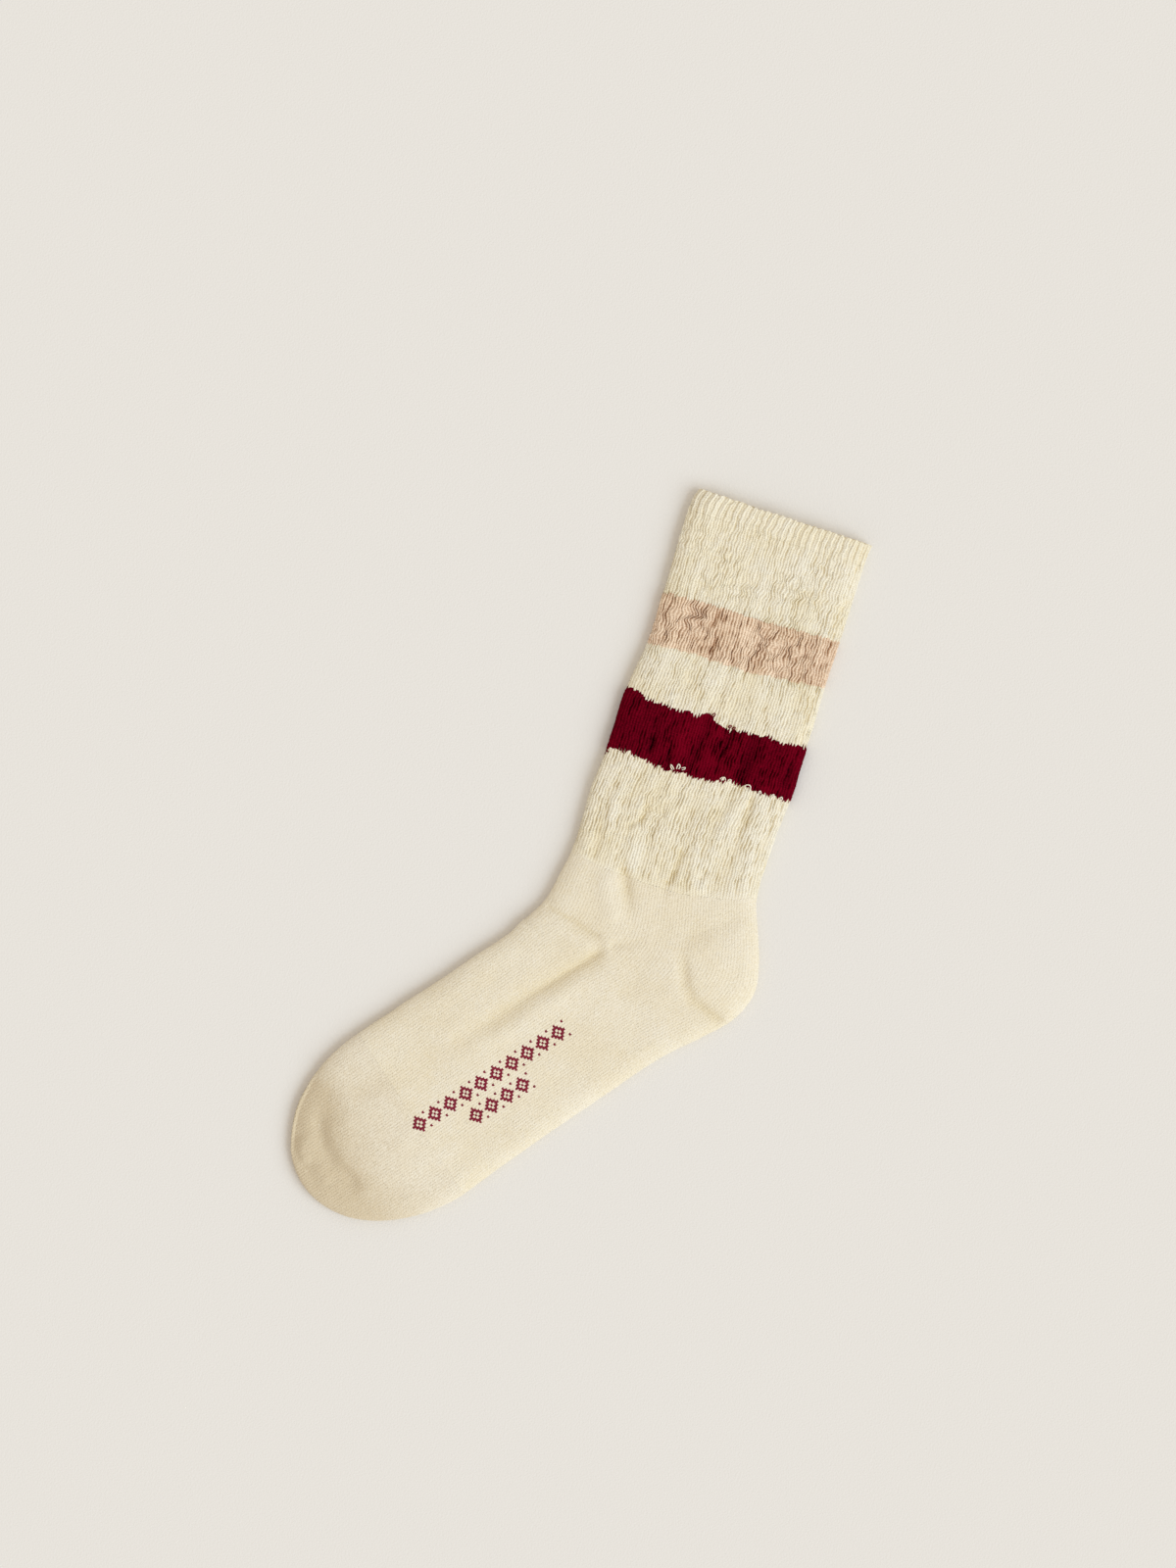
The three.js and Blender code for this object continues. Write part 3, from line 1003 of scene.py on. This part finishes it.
def read(items: bpy.types.bpy_prop_collection, name: str, width: int = 1, kind: type = float) -> Points:
    """Reads one property of a mesh's points, edges or corners.

    Args:
        items: the points, edges, corners or normals.
        name: the property.
        width: numbers that each item has.
        kind: their type.

    Returns:
        A row for each item.
    """
    values = np.empty(len(items) * width, kind)
    items.foreach_get(name, values)
    return values.reshape(-1, width)


def corner_points(mesh: bpy.types.Mesh) -> Points:
    """Number of the point at each corner of each face."""
    return read(mesh.loops, "vertex_index", 1, np.int32)[:, 0]


def add_uv(mesh: bpy.types.Mesh, name: str, uv: Points) -> None:
    """Gives a mesh a UV map with a row for each corner."""
    mesh.uv_layers.new(name=name).data.foreach_set("uv", uv.astype(np.float32).ravel())


def set_knit_uv(piece: bpy.types.Object, wale: Points, course: Points, wales: float) -> None:
    """Gives a piece its wale and course numbers as the UV map that the knit follows.

    Args:
        piece: the piece.
        wale: wale number of each point.
        course: course number of each point.
        wales: wales all the way round; a face that closes the round counts on past it.
    """
    corner = corner_points(piece.data)
    across = wale[corner].reshape(-1, 4)
    closes = across.max(axis=1, keepdims=True) - across > wales / 2
    across = np.where(closes, across + wales, across)
    add_uv(piece.data, "knit", np.stack([across.ravel(), course[corner]], axis=-1))


def set_chart_uv(piece: bpy.types.Object, form: SockForm) -> None:
    """Gives a piece a second UV map: millimetres along and across the foot, on the upper panel only.

    Args:
        piece: the piece.
        form: the sock's form.
    """
    mesh = piece.data
    at, normal = read(mesh.vertices, "co", 3), read(mesh.vertex_normals, "vector", 3)
    flat = at[:, :2] / MM
    is_top = (normal[:, 2] > 0) & (at[:, 2] > form.wall * 1.5 * MM)
    across = np.where(is_top, flat @ form.across, OFF_CHART)
    add_uv(mesh, "chart", np.stack([flat @ form.axis, across], axis=-1)[corner_points(mesh)])


def set_painted_light(piece: bpy.types.Object, relief: Points) -> None:
    """Stores the painted light and shade of each point, worked out from how far it stands out: 0 is a
    valley's painted shade, 1 a ridge's painted light.
    """
    layer = piece.data.attributes.new("relief", "FLOAT", "POINT")
    layer.data.foreach_set("value", np.clip(relief, 0, BRIGHTEST_PAINTED_LIGHT).astype(np.float32).ravel())


def mark_rims(piece: bpy.types.Object, is_rim: Points) -> None:
    """Keeps the edges between rim points crisp, so that the cloth's face doesn't shade round them.

    Args:
        piece: the piece.
        is_rim: whether each point is on a rim.
    """
    ends = read(piece.data.edges, "vertices", 2, np.int32)
    layer = piece.data.attributes.new("sharp_edge", "BOOLEAN", "EDGE")
    layer.data.foreach_set("value", is_rim[ends].all(axis=1))


def weld(piece: bpy.types.Object) -> None:
    """Joins the points that meet at a pole or at a gore line's end, and clears what is left between them.

    Args:
        piece: the piece.
    """
    shape = bmesh.new()
    shape.from_mesh(piece.data)
    bmesh.ops.remove_doubles(shape, verts=shape.verts, dist=WELD_REACH)
    bmesh.ops.dissolve_degenerate(shape, edges=shape.edges, dist=STRAY_LENGTH)
    stray = [edge for edge in shape.edges if not edge.link_faces]
    bmesh.ops.delete(shape, geom=stray, context="EDGES")
    shape.to_mesh(piece.data)
    shape.free()


def declare(piece: bpy.types.Object, node: str, slot: str, flat: tuple, area: float | None = None) -> None:
    """Attaches a piece of cloth to the root body and hides the CAD node that it stands for.

    Args:
        piece: the piece.
        node: the CAD node that it stands for.
        slot: not used.
        flat: not used.
        area: not used.
    """
    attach(piece, "root")
    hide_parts(node)


def laid(points: Points) -> Points:
    """Presses what would go into the floor flat on it."""
    points[..., 2] = np.maximum(points[..., 2], LEAST_HEIGHT)
    return points


# ---------------------------------------------------------------- leg


@dataclass(frozen=True)
class Stretch:
    """One stretch of the leg: its node, slot and finish, and the lines where it starts and ends."""

    node: str
    slot: str
    finish: CottonKnit
    start: Line
    end: Line


LEG_STRETCHES = (
    Stretch("cuff_welt", "cream_rib", CREAM_RIB, Line.CUFF, Line.WELT_END),
    Stretch("rib_upper", "cream_rib", CREAM_RIB, Line.WELT_END, Line.TAN_TOP),
    Stretch("stripe_tan", "tan_rib", TAN_RIB, Line.TAN_TOP, Line.TAN_END),
    Stretch("rib_middle", "cream_rib", CREAM_RIB, Line.TAN_END, Line.BURGUNDY_TOP),
    Stretch("stripe_burgundy", "burgundy_rib", BURGUNDY_RIB, Line.BURGUNDY_TOP, Line.BURGUNDY_END),
    Stretch("rib_lower", "cream_rib", CREAM_RIB, Line.BURGUNDY_END, Line.RIB_END),
)

# How far each line wanders down from its station: share across the upper panel, distance
LINE_WANDER = {
    Line.CUFF: ((0, 0.0), (1, 0.0)),
    Line.WELT_END: ((0, 0.0), (0.5, 0.8), (1, 0.0)),
    Line.TAN_TOP: ((0, 1.0), (0.3, 0.2), (0.6, 0.6), (1, -0.8)),
    Line.TAN_END: ((0, 1.8), (0.3, 0.8), (0.55, 1.4), (1, -2.4)),
    Line.BURGUNDY_TOP: ((0, 0), (0.08, 0.1), (0.14, 2.2), (0.26, 1.7), (0.39, 2.0), (0.46, -0.7),
                        (0.53, 3.4), (0.62, 3.2), (0.75, 1.0), (0.82, 1.6), (1, 0)),
    Line.BURGUNDY_END: ((0, 2.2), (0.025, -0.3), (0.07, -1.8), (0.34, 2.0), (0.59, 1.1), (0.65, -1.9),
                        (0.78, -0.1), (1, -0.5)),
    Line.RIB_END: ((0, -1.3), (0.09, 3.0), (0.24, 5.9), (0.59, 7.4), (0.85, 3.5), (1, -1.0)),
}

# How ragged each line is; the others are as ragged as RAGGED
TEETH = {Line.CUFF: 0.25, Line.WELT_END: 0.0, Line.RIB_END: 0.3, Line.TAN_TOP: 0.9, Line.TAN_END: 0.9}
RAGGED = 1.3


@dataclass
class Leg:
    """The ribbed leg: six stretches of one tube, with ragged edges where the yarn changes."""

    CROWN = ((0, -0.5), (0.25, 0.05), (0.5, 0.75), (0.75, 0.35))  # share of a wale, how far it stands out

    form: SockForm
    relief: RibRelief = field(default_factory=RibRelief)
    row_step: float = 0.62
    inner_rows: int = 5
    cuff_inner_rows: int = 12  # the cuff is open, so its inside shows
    course_height: float = 1.05
    seam: float = 0.03
    floor_share: float = 0.5  # relief left on the under panel, which the floor presses
    under_wander: float = 0.6  # share of a line's wander that its back follows
    fade_out: float = 4.0  # length over which the ribs die out at the ankle
    inner_rib: float = 0.12
    tone: tuple = (0.75, 0.38)  # painted light and shade: tone of level cloth, and its rise for each millimetre that the cloth stands out, so troughs are painted darker
    # painted shade on the inside of the cloth, which shows at the open cuff
    inner_tone: float = 0.3

    def __post_init__(self) -> None:
        """Lays out the columns."""
        count = self.relief.wales * self.relief.sides
        self.wale = np.arange(count) / self.relief.sides
        self.share = np.arange(count) / count

    def line(self, which: Line) -> Points:
        """Where a line crosses the columns.

        Args:
            which: the line.

        Returns:
            Length down from the cuff at each column.
        """
        relief, wale = self.relief, self.wale
        across = np.where(self.share < 0.5, self.share * 2, 2 - self.share * 2)
        wander = profile(LINE_WANDER[which], across)
        drift = 1.2 * relief.swell(2, wale, 40.5, 6) * np.sin(math.pi * across)
        wander = np.where(self.share < 0.5, wander, self.under_wander * wander + drift)
        rng = np.random.default_rng(which.value + 50)
        tooth = rng.uniform(-0.3, 1.7, relief.wales)[wale.astype(int)] * profile(self.CROWN, wale % 1)
        tooth = tooth + 0.9 * relief.swell(4, wale, 60.5 + which.value, 2)
        teeth = TEETH.get(which, RAGGED) * (tooth + 0.5 * rng.uniform(-0.5, 0.5, len(wale)))
        if which is Line.CUFF:
            teeth = teeth - 0.3 * np.cos(TURN * relief.lobes * wale / relief.wales)
            teeth = teeth + 0.5 + 0.5 * relief.swell(1, wale, 3.3, 12)
        return self.form.length_at(which.value) + wander + teeth

    def build(self) -> list[bpy.types.Object]:
        """Builds all six stretches."""
        return [self.stretch(one) for one in LEG_STRETCHES]

    def stretch(self, one: Stretch) -> bpy.types.Object:
        """Builds and dresses one stretch of the leg.

        Args:
            one: which stretch.

        Returns:
            The piece.
        """
        is_cuff = one.start is Line.CUFF
        top = self.line(one.start) + (0.0 if is_cuff else self.seam / 2)
        bottom = self.line(one.end) - self.seam / 2
        rows = int(np.ceil((bottom - top).mean() / self.row_step)) + 1
        inner_rows = self.cuff_inner_rows if is_cuff else self.inner_rows
        length = top + (bottom - top) * np.linspace(0, 1, rows)[:, None]
        inner_length = top + (bottom - top) * np.linspace(1, 0, inner_rows)[:, None]
        outside, height = self.outside(length)
        points = np.concatenate([outside, self.inside(inner_length)])
        piece = build_tube(one.node + "_cloth", points, [0, rows - 1, rows, -1])
        all_length = np.concatenate([length, inner_length])
        wale = np.broadcast_to(self.wale, all_length.shape)
        set_knit_uv(piece, wale.ravel(), all_length.ravel() / self.course_height, self.relief.wales)
        # painted light and shade: paler where the cloth stands out, darker in grooves and creases; the
        # burgundy stripe's lift is left out
        level, rise = self.tone
        tone = level + rise * (height - profile(self.relief.LIFT, length))
        set_painted_light(piece, np.concatenate([tone, np.full(inner_length.shape, self.inner_tone)]))
        piece.data.materials.append(one.finish.material())
        low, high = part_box(one.node)
        along = float(length[-1].mean() - length[0].mean()) * MM
        declare(piece, one.node, one.slot, (2 * (high.x - low.x), along))
        return piece

    def outside(self, length: Points) -> tuple[Points, Points]:
        """The outside of the cloth.

        Args:
            length: lengths down from the cuff, a row for each ring.

        Returns:
            The places, and the relief there.
        """
        shift, height = self.relief.fields(self.wale, length)
        end_fade = smooth_step(0, self.fade_out, self.line(Line.RIB_END) - length)
        at, normal = self.form.outward(length, self.share, shift * end_fade)
        height = height * end_fade + creases_rise(at, normal)
        height = np.where(self.share < 0.5, height, height * self.floor_share)
        return laid(at + normal * height[..., None]), height

    def inside(self, length: Points) -> Points:
        """The inside of the cloth, with the ribs' backs.

        Args:
            length: lengths down from the cuff, a row for each ring.

        Returns:
            The places.
        """
        at = self.form.at(length, self.share, is_inner=True)
        ribs = self.inner_rib * np.cos(TURN * self.wale)
        at[..., 2] += np.where(self.share < 0.5, ribs, -ribs)
        return at


# ---------------------------------------------------------------- foot


# Size all round and along of each cut, in metres, and its area in square metres
FOOT_CUTS = {
    "foot": ((0.186, 0.19), 0.0335),
    "heel": ((0.085, 0.058), 0.0029),
    "toe": ((0.18, 0.061), 0.0086),
}


@dataclass
class Foot:
    """The plain knit foot: a tube with a heel pocket let into it, and a closed toe."""

    form: SockForm
    relief: PlainRelief = field(default_factory=PlainRelief)
    columns: int = 240
    heel_column: int = 73  # column of the gore lines' meeting point, from the front fold
    heel_stations: tuple = (7.8, 9.75, 11.4)  # upper gore line's end, their meeting point, lower end
    upper_rows: int = 40
    heel_rows: int = 60
    lower_rows: int = 140
    toe_rows: int = 70
    toe_inner_rows: int = 14
    wales: int = 144
    course_height: float = 1.0
    seam: float = 0.03
    fade_in: float = 8.0  # length over which the foot's own relief starts after the rib
    tip_fade: float = 6.0  # length over which it dies out at the toe's end
    floor_share: float = 0.5  # relief left on the under panel, which the floor presses
    tone: tuple = (0.75, 0.3)  # painted light and shade: tone of level cloth, and its rise for each millimetre that the cloth stands out, so troughs are painted darker
    # painted shade on the inside of the cloth
    inner_tone: float = 0.4
    toe_painted_shade: float = 0.9  # how far painted shade darkens the toe towards its tip
    toe_shade_start: float = 5.0  # where along the toe the painted shade starts

    def __post_init__(self) -> None:
        """Lays out the columns."""
        self.share = np.arange(self.columns) / self.columns
        self.across = np.where(self.share < 0.5, self.share * 2, 2 - self.share * 2)
        self.meeting = self.heel_column / (self.columns / 2)

    def build(self, rib_end: Points, leg_share: Points) -> list[bpy.types.Object]:
        """Builds the foot, the heel and the toe.

        Args:
            rib_end: length of the rib's end at each column of the leg.
            leg_share: share of the way round of those columns.

        Returns:
            The three pieces.
        """
        self.start = np.interp(self.share, leg_share, rib_end)
        reach = np.clip((self.across - self.meeting) / (1 - self.meeting), 0, 1)
        upper_end, meet, lower_end = (self.form.length_at(s) for s in self.heel_stations)
        upper = meet + (upper_end - meet) * reach
        lower = meet + (lower_end - meet) * reach
        return [self.foot(upper, lower), self.heel(upper, lower, reach), self.toe()]

    def outside(self, length: Points) -> tuple[Points, Points]:
        """The outside of the cloth.

        Args:
            length: lengths down from the cuff, a row for each ring.

        Returns:
            The places, and the relief there.
        """
        at, normal = self.form.outward(length, self.share, 0.0)
        start_fade = smooth_step(0, self.fade_in, length - self.start)
        height = self.relief.height(at) * start_fade + creases_rise(at, normal)
        tip = smooth_step(0, self.tip_fade, self.form.toe_at + self.form.toe_length - length)
        height = np.where(self.share < 0.5, height, height * self.floor_share) * tip
        return laid(at + normal * height[..., None]), height

    def inside(self, length: Points) -> Points:
        """Places of the inside."""
        return self.form.at(length, self.share, is_inner=True)

    def rows(self, start: Points, end: Points, count: int) -> Points:
        """Lengths of count + 1 rows from start to end."""
        return start + (end - start) * np.linspace(0, 1, count + 1)[:, None]

    def shell(self, name: str, length: Points, quads: Points) -> bpy.types.Object:
        """A closed piece of cloth from faces of a grid: outside, inside, and a rim round each open edge.

        Args:
            name: the node that the piece stands for.
            length: length down from the cuff of each grid point.
            quads: corners of the faces of the outside.

        Returns:
            The piece.
        """
        outside, height = self.outside(length)
        count = length.size
        edges = np.concatenate([quads[:, [i, (i + 1) % 4]] for i in range(4)])
        key = np.sort(edges, axis=1)
        _, first, uses = np.unique(key, axis=0, return_index=True, return_counts=True)
        one, other = edges[first[uses == 1]].T
        rims = np.stack([other, one, one + count, other + count], axis=1)
        faces = np.concatenate([quads, quads[:, ::-1] + count, rims])
        points = np.concatenate([outside.reshape(-1, 3), self.inside(length).reshape(-1, 3)])
        used, faces = np.unique(faces, return_inverse=True)
        piece = build_mesh(name + "_cloth", points[used], faces.reshape(-1, 4))
        is_rim = np.zeros(2 * count, bool)
        is_rim[rims] = True
        mark_rims(piece, is_rim[used])
        # painted light and shade: paler where the cloth stands out, darker in creases
        level, rise = self.tone
        wale = np.broadcast_to(self.share * self.wales, length.shape)
        inner = np.full(length.shape, self.inner_tone)
        maps = ((wale, wale), (length, length), (level + rise * height, inner))
        self.dress(piece, *(np.concatenate(pair).ravel()[used] for pair in maps), CREAM_PLAIN)
        return piece

    def dress(
        self, piece: bpy.types.Object, wale: Points, along: Points, tone: Points, finish: CottonKnit
    ) -> None:
        """Gives a piece its maps, its painted light and shade, and its finish.

        Args:
            piece: the piece.
            wale: wale number of each point.
            along: length of each point down the cloth.
            tone: painted light and shade of each point.
            finish: the cloth's finish.
        """
        set_knit_uv(piece, wale, along / self.course_height, self.wales)
        set_painted_light(piece, tone)
        set_chart_uv(piece, self.form)
        piece.data.materials.append(finish.material())

    def foot(self, upper: Points, lower: Points) -> bpy.types.Object:
        """The tube of the foot, with a notch on each panel where the heel goes.

        Args:
            upper: length of the upper gore line at each column.
            lower: length of the lower one.

        Returns:
            The piece.
        """
        above = self.rows(self.start + self.seam / 2, upper, self.upper_rows)
        below = self.rows(lower, self.form.toe_at - self.seam / 2, self.lower_rows)
        length = np.concatenate([above, below])
        quads = grid_quads(len(length), self.columns)
        quads = quads[quads[:, 0] // self.columns != self.upper_rows]
        closed = np.flatnonzero(self.across <= self.meeting + TINY)
        merged = np.arange(length.size)
        merged[(self.upper_rows + 1) * self.columns + closed] = self.upper_rows * self.columns + closed
        piece = self.shell("foot", length, merged[quads])
        declare(piece, "foot", "cream_plain", *FOOT_CUTS["foot"])
        return piece

    def heel(self, upper: Points, lower: Points, reach: Points) -> bpy.types.Object:
        """The heel pocket between its gore lines.

        Args:
            upper: length of the upper gore line at each column.
            lower: length of the lower one.
            reach: how far each column is from the lines' meeting point towards the back fold.

        Returns:
            The piece.
        """
        gap = self.seam / 2 * (reach > 0)
        length = self.rows(upper + gap, lower - gap, self.heel_rows)
        quads = grid_quads(len(length), self.columns)
        in_heel = np.flatnonzero(reach > 0)
        column = quads[:, 0] % self.columns
        quads = quads[(column >= in_heel.min() - 1) & (column < in_heel.max() + 1)]
        piece = self.shell("heel", length, quads)
        weld(piece)
        declare(piece, "heel", "cream_plain", *FOOT_CUTS["heel"])
        return piece

    def toe(self) -> bpy.types.Object:
        """The closed toe.

        Returns:
            The piece.
        """
        form = self.form
        start, reach = form.toe_at + self.seam / 2, form.toe_length - self.seam / 2
        level_ring = np.zeros(self.columns)
        turn = self.rows(level_ring, level_ring + math.pi / 2, self.toe_rows)
        inner_turn = np.linspace(math.pi / 2, 0, self.toe_inner_rows + 1)[:, None] + level_ring
        length, inner_length = start + reach * np.sin(turn), start + reach * np.sin(inner_turn)
        outside, height = self.outside(length)
        points = np.concatenate([outside, self.inside(inner_length)])
        piece = build_tube("toe_cloth", points, [0, -1])
        along = form.toe_at + points[..., :2] @ form.axis - form.foot_stations[-1]
        across = points[..., :2] @ form.across - form.instep_across
        wale = (across + form.fold_slack) * self.wales / 2 / form.foot_round
        level, rise = self.tone
        tone = level + rise * height
        # painted shade: the toe is painted darker towards its tip
        tone = tone - self.toe_painted_shade * smooth_step(self.toe_shade_start, form.toe_length, length - form.toe_at)
        tone = np.concatenate([tone, np.full(inner_length.shape, self.inner_tone)])
        self.dress(piece, wale.ravel(), along.ravel(), tone, CREAM_TOE)
        weld(piece)
        declare(piece, "toe", "cream_plain", *FOOT_CUTS["toe"])
        return piece


# ---------------------------------------------------------------- pulled loops


@dataclass(frozen=True)
class Loop:
    """A stitch pulled out of the cloth: where it stands, its size and how it is turned."""

    x: float
    y: float
    width: float
    height: float
    turn: float  # degrees
    lean: float = 25.0  # degrees that it rises from the cloth


CREAM_LOOPS = (
    Loop(23.4, 58.8, 0.9, 2.8, 42, 15),
    Loop(25.2, 59.7, 1.3, 2.6, 8, 20),
    Loop(27.0, 60.2, 1.0, 2.0, -48, 15),
    Loop(45.6, 61.3, 1.0, 1.8, -30, 15),
    Loop(47.4, 61.6, 1.3, 1.6, 24, 20),
    Loop(49.2, 61.5, 0.9, 1.8, -52, 15),
    Loop(58.9, 60.4, 2.8, 3.8, -14, 40),
    Loop(65.0, 60.8, 0.9, 1.7, 25),
    Loop(70.4, 61.2, 0.8, 1.9, -24),
    Loop(75.2, 61.0, 0.9, 2.0, 20),
)

BURGUNDY_LOOPS = (
    Loop(32.6, 87.4, 1.0, 3.0, -25, 30),
    Loop(41.2, 85.3, 0.8, 2.2, -50),
    Loop(43.2, 84.8, 0.9, 2.4, -36),
)


@dataclass
class PulledLoops:
    """The pulled stitches along one edge of the burgundy stripe."""

    PATTERN_YARN = 0.09  # radius of the yarn on the loop of unit size
    RADIUS = 0.5  # of that loop
    OPENING = 0.36  # how far below its middle the ring is cut open

    name: str
    slot: str
    finish: CottonKnit
    loops: tuple
    yarn: float = 0.27  # radius of the yarn
    sink: float = 0.15  # how far a loop's feet are in the cloth
    wobble: float = 0.12  # how far a loop is out of round
    skew: float = 0.3  # how far its top hangs over

    def build(self, cloth: list[bpy.types.Object]) -> bpy.types.Object:
        """Models one loop and sets copies of it on the cloth.

        Args:
            cloth: the pieces that the loops may stand on.

        Returns:
            The loops, as one piece.
        """
        pattern = self.pattern()
        copies = [self.stand(pattern, loop, cloth) for loop in self.loops]
        bpy.data.objects.remove(pattern)
        bpy.ops.object.select_all(action="DESELECT")
        for copy in copies:
            copy.select_set(True)
        piece = bpy.context.view_layer.objects.active = copies[0]
        bpy.ops.object.join()
        piece.name = self.name
        # painted light: the loops take the palest tone, as if fully lit
        set_painted_light(piece, np.full(len(piece.data.vertices), BRIGHTEST_PAINTED_LIGHT))
        piece.data.materials.append(self.finish.material())
        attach(piece, "root")
        return piece

    def pattern(self) -> bpy.types.Object:
        """One loop of unit size: a ring of yarn cut open at its foot, with its ends closed.

        Returns:
            The loop.
        """
        bpy.ops.object.select_all(action="DESELECT")
        bpy.ops.mesh.primitive_torus_add(
            major_segments=22, minor_segments=6, major_radius=self.RADIUS, minor_radius=self.PATTERN_YARN)
        ring = bpy.context.object
        bpy.ops.object.mode_set(mode="EDIT")
        bpy.ops.mesh.select_all(action="SELECT")
        foot = (0, -self.OPENING, 0)
        bpy.ops.mesh.bisect(plane_co=foot, plane_no=(0, -1, 0), use_fill=True, clear_outer=True)
        bpy.ops.object.mode_set(mode="OBJECT")
        bpy.ops.object.shade_smooth()
        return ring

    def stand(self, pattern: bpy.types.Object, loop: Loop, cloth: list[bpy.types.Object]) -> bpy.types.Object:
        """A copy of the pattern at its place, with the yarn's own thickness kept.

        Args:
            pattern: the loop of unit size.
            loop: the copy's place and size.
            cloth: the pieces that it may stand on.

        Returns:
            The copy.
        """
        copy = pattern.copy()
        copy.data = pattern.data.copy()
        bpy.context.scene.collection.objects.link(copy)
        fat = self.yarn / self.PATTERN_YARN
        for vertex in copy.data.vertices:
            x, y, z = vertex.co
            out = math.hypot(x, y)
            middle = Vector((x / out * self.RADIUS, y / out * self.RADIUS))
            wobble = 1 + self.wobble * math.sin(3 * math.atan2(y, x) + loop.turn)
            skew = self.skew * math.sin(loop.turn) * (middle.y + self.RADIUS)
            ring_x, ring_y = (middle.x * wobble + skew) * loop.width, middle.y * wobble * loop.height
            vertex.co = (ring_x + (x - middle.x) * fat, ring_y + (y - middle.y) * fat, z * fat)
        lift = Matrix.Translation((0, loop.height * self.OPENING, 0))
        leaned = Matrix.Rotation(math.radians(loop.lean), 4, "X")
        turned = Matrix.Rotation(math.radians(loop.turn), 4, "Z") @ leaned
        top = max(self.top_of(piece, loop) for piece in cloth) / MM
        place = Matrix.Translation((loop.x, loop.y, top - self.sink + self.yarn))
        copy.data.transform(Matrix.Scale(MM, 4) @ place @ turned @ lift)
        return copy

    def top_of(self, piece: bpy.types.Object, loop: Loop) -> float:
        """Height of a piece's upper surface under a loop, or 0 beside the piece."""
        is_hit, at, _, _ = piece.ray_cast((loop.x * MM, loop.y * MM, 0.1), (0, 0, -1))
        return at.z if is_hit else 0.0


# ---------------------------------------------------------------- studio


@dataclass
class Studio:
    """Floor, soft light from the heel side, and a camera straight overhead."""

    paper: StudioPaper = field(default_factory=StudioPaper)
    floor_size: float = 40.0  # metres, so that its edge is out of sight from low down
    frame_height: float = 0.7273  # what the picture's long side covers at the sock, in metres
    frame_centre: tuple = (-0.0118, 0.0399)  # what the camera looks straight down on
    roll: float = 18.5  # degrees that the leg leans to the right in the picture
    lens: float = 85.0  # mm
    sensor: float = 36.0
    key_azimuth: float = -12.0  # degrees from +X, seen from above
    key_elevation: float = 38.0
    key_spread: float = 46.0  # degrees across
    key_power: float = 1.99
    key_tone: str = "e3f1ff"  # daylight, cooler than the room
    surround: float = 0.7
    surround_tone: str = "fff7ee"

    def build(self) -> None:
        """Sets up everything round the sock."""
        self.floor()
        self.camera()
        self.lights()

    def floor(self) -> None:
        """The floor, at the underside of the part."""
        bpy.ops.mesh.primitive_plane_add(size=self.floor_size, location=(0, 0, CAD_BOX[0][2]))
        floor = bpy.context.object
        floor.name = "floor"
        floor.data.materials.append(self.paper.material())

    def camera(self) -> None:
        """The camera, looking straight down."""
        data = bpy.data.cameras.new("camera")
        data.lens = self.lens
        data.sensor_width = self.sensor
        camera = bpy.data.objects.new("camera", data)
        height = self.frame_height / 2 / (self.sensor / 2 / self.lens)
        camera.location = (*self.frame_centre, height)
        camera.rotation_euler = (0, 0, math.radians(self.roll))
        bpy.context.scene.collection.objects.link(camera)
        bpy.context.scene.camera = camera

    def lights(self) -> None:
        """A large soft source from the heel side, and an even surround."""
        self.key_light()
        world = bpy.data.worlds.new("surround")
        world.use_nodes = True
        background = world.node_tree.nodes["Background"]
        background.inputs["Color"].default_value = colour(self.surround_tone)
        background.inputs["Strength"].default_value = self.surround
        bpy.context.scene.world = world
        bpy.context.scene.view_settings.view_transform = "Standard"

    def key_light(self) -> None:
        """The light from the heel side, as even as a window across the room."""
        data = bpy.data.lights.new("key_light", "SUN")
        data.energy = self.key_power
        data.angle = math.radians(self.key_spread)
        data.color = colour(self.key_tone)[:3]
        light = bpy.data.objects.new("key_light", data)
        turn, lift = math.radians(self.key_azimuth), math.radians(self.key_elevation)
        away = Vector((math.cos(turn) * math.cos(lift), math.sin(turn) * math.cos(lift), math.sin(lift)))
        light.rotation_euler = away.to_track_quat("Z", "Y").to_euler()
        bpy.context.scene.collection.objects.link(light)


def main() -> None:
    """Builds the sock, piece by piece, and the studio round it."""
    logging.basicConfig(level=logging.INFO, format="%(name)s: %(message)s")
    bpy.ops.object.select_all(action="DESELECT")
    Studio().build()
    form = SockForm()
    leg = Leg(form)
    pieces = leg.build()
    pieces += Foot(form).build(leg.line(Line.RIB_END), leg.share)
    bpy.context.view_layer.update()
    cloth = list(pieces)
    cream = PulledLoops("cream_pulled_loops", "cream_rib", CREAM_RIB, CREAM_LOOPS)
    burgundy = PulledLoops("burgundy_pulled_loops", "burgundy_rib", BURGUNDY_RIB, BURGUNDY_LOOPS)
    pieces += [cream.build(cloth), burgundy.build(cloth)]
    for piece in pieces:
        log.info("%s: %d faces", piece.name, len(piece.data.polygons))


if __name__ == "__main__":
    main()
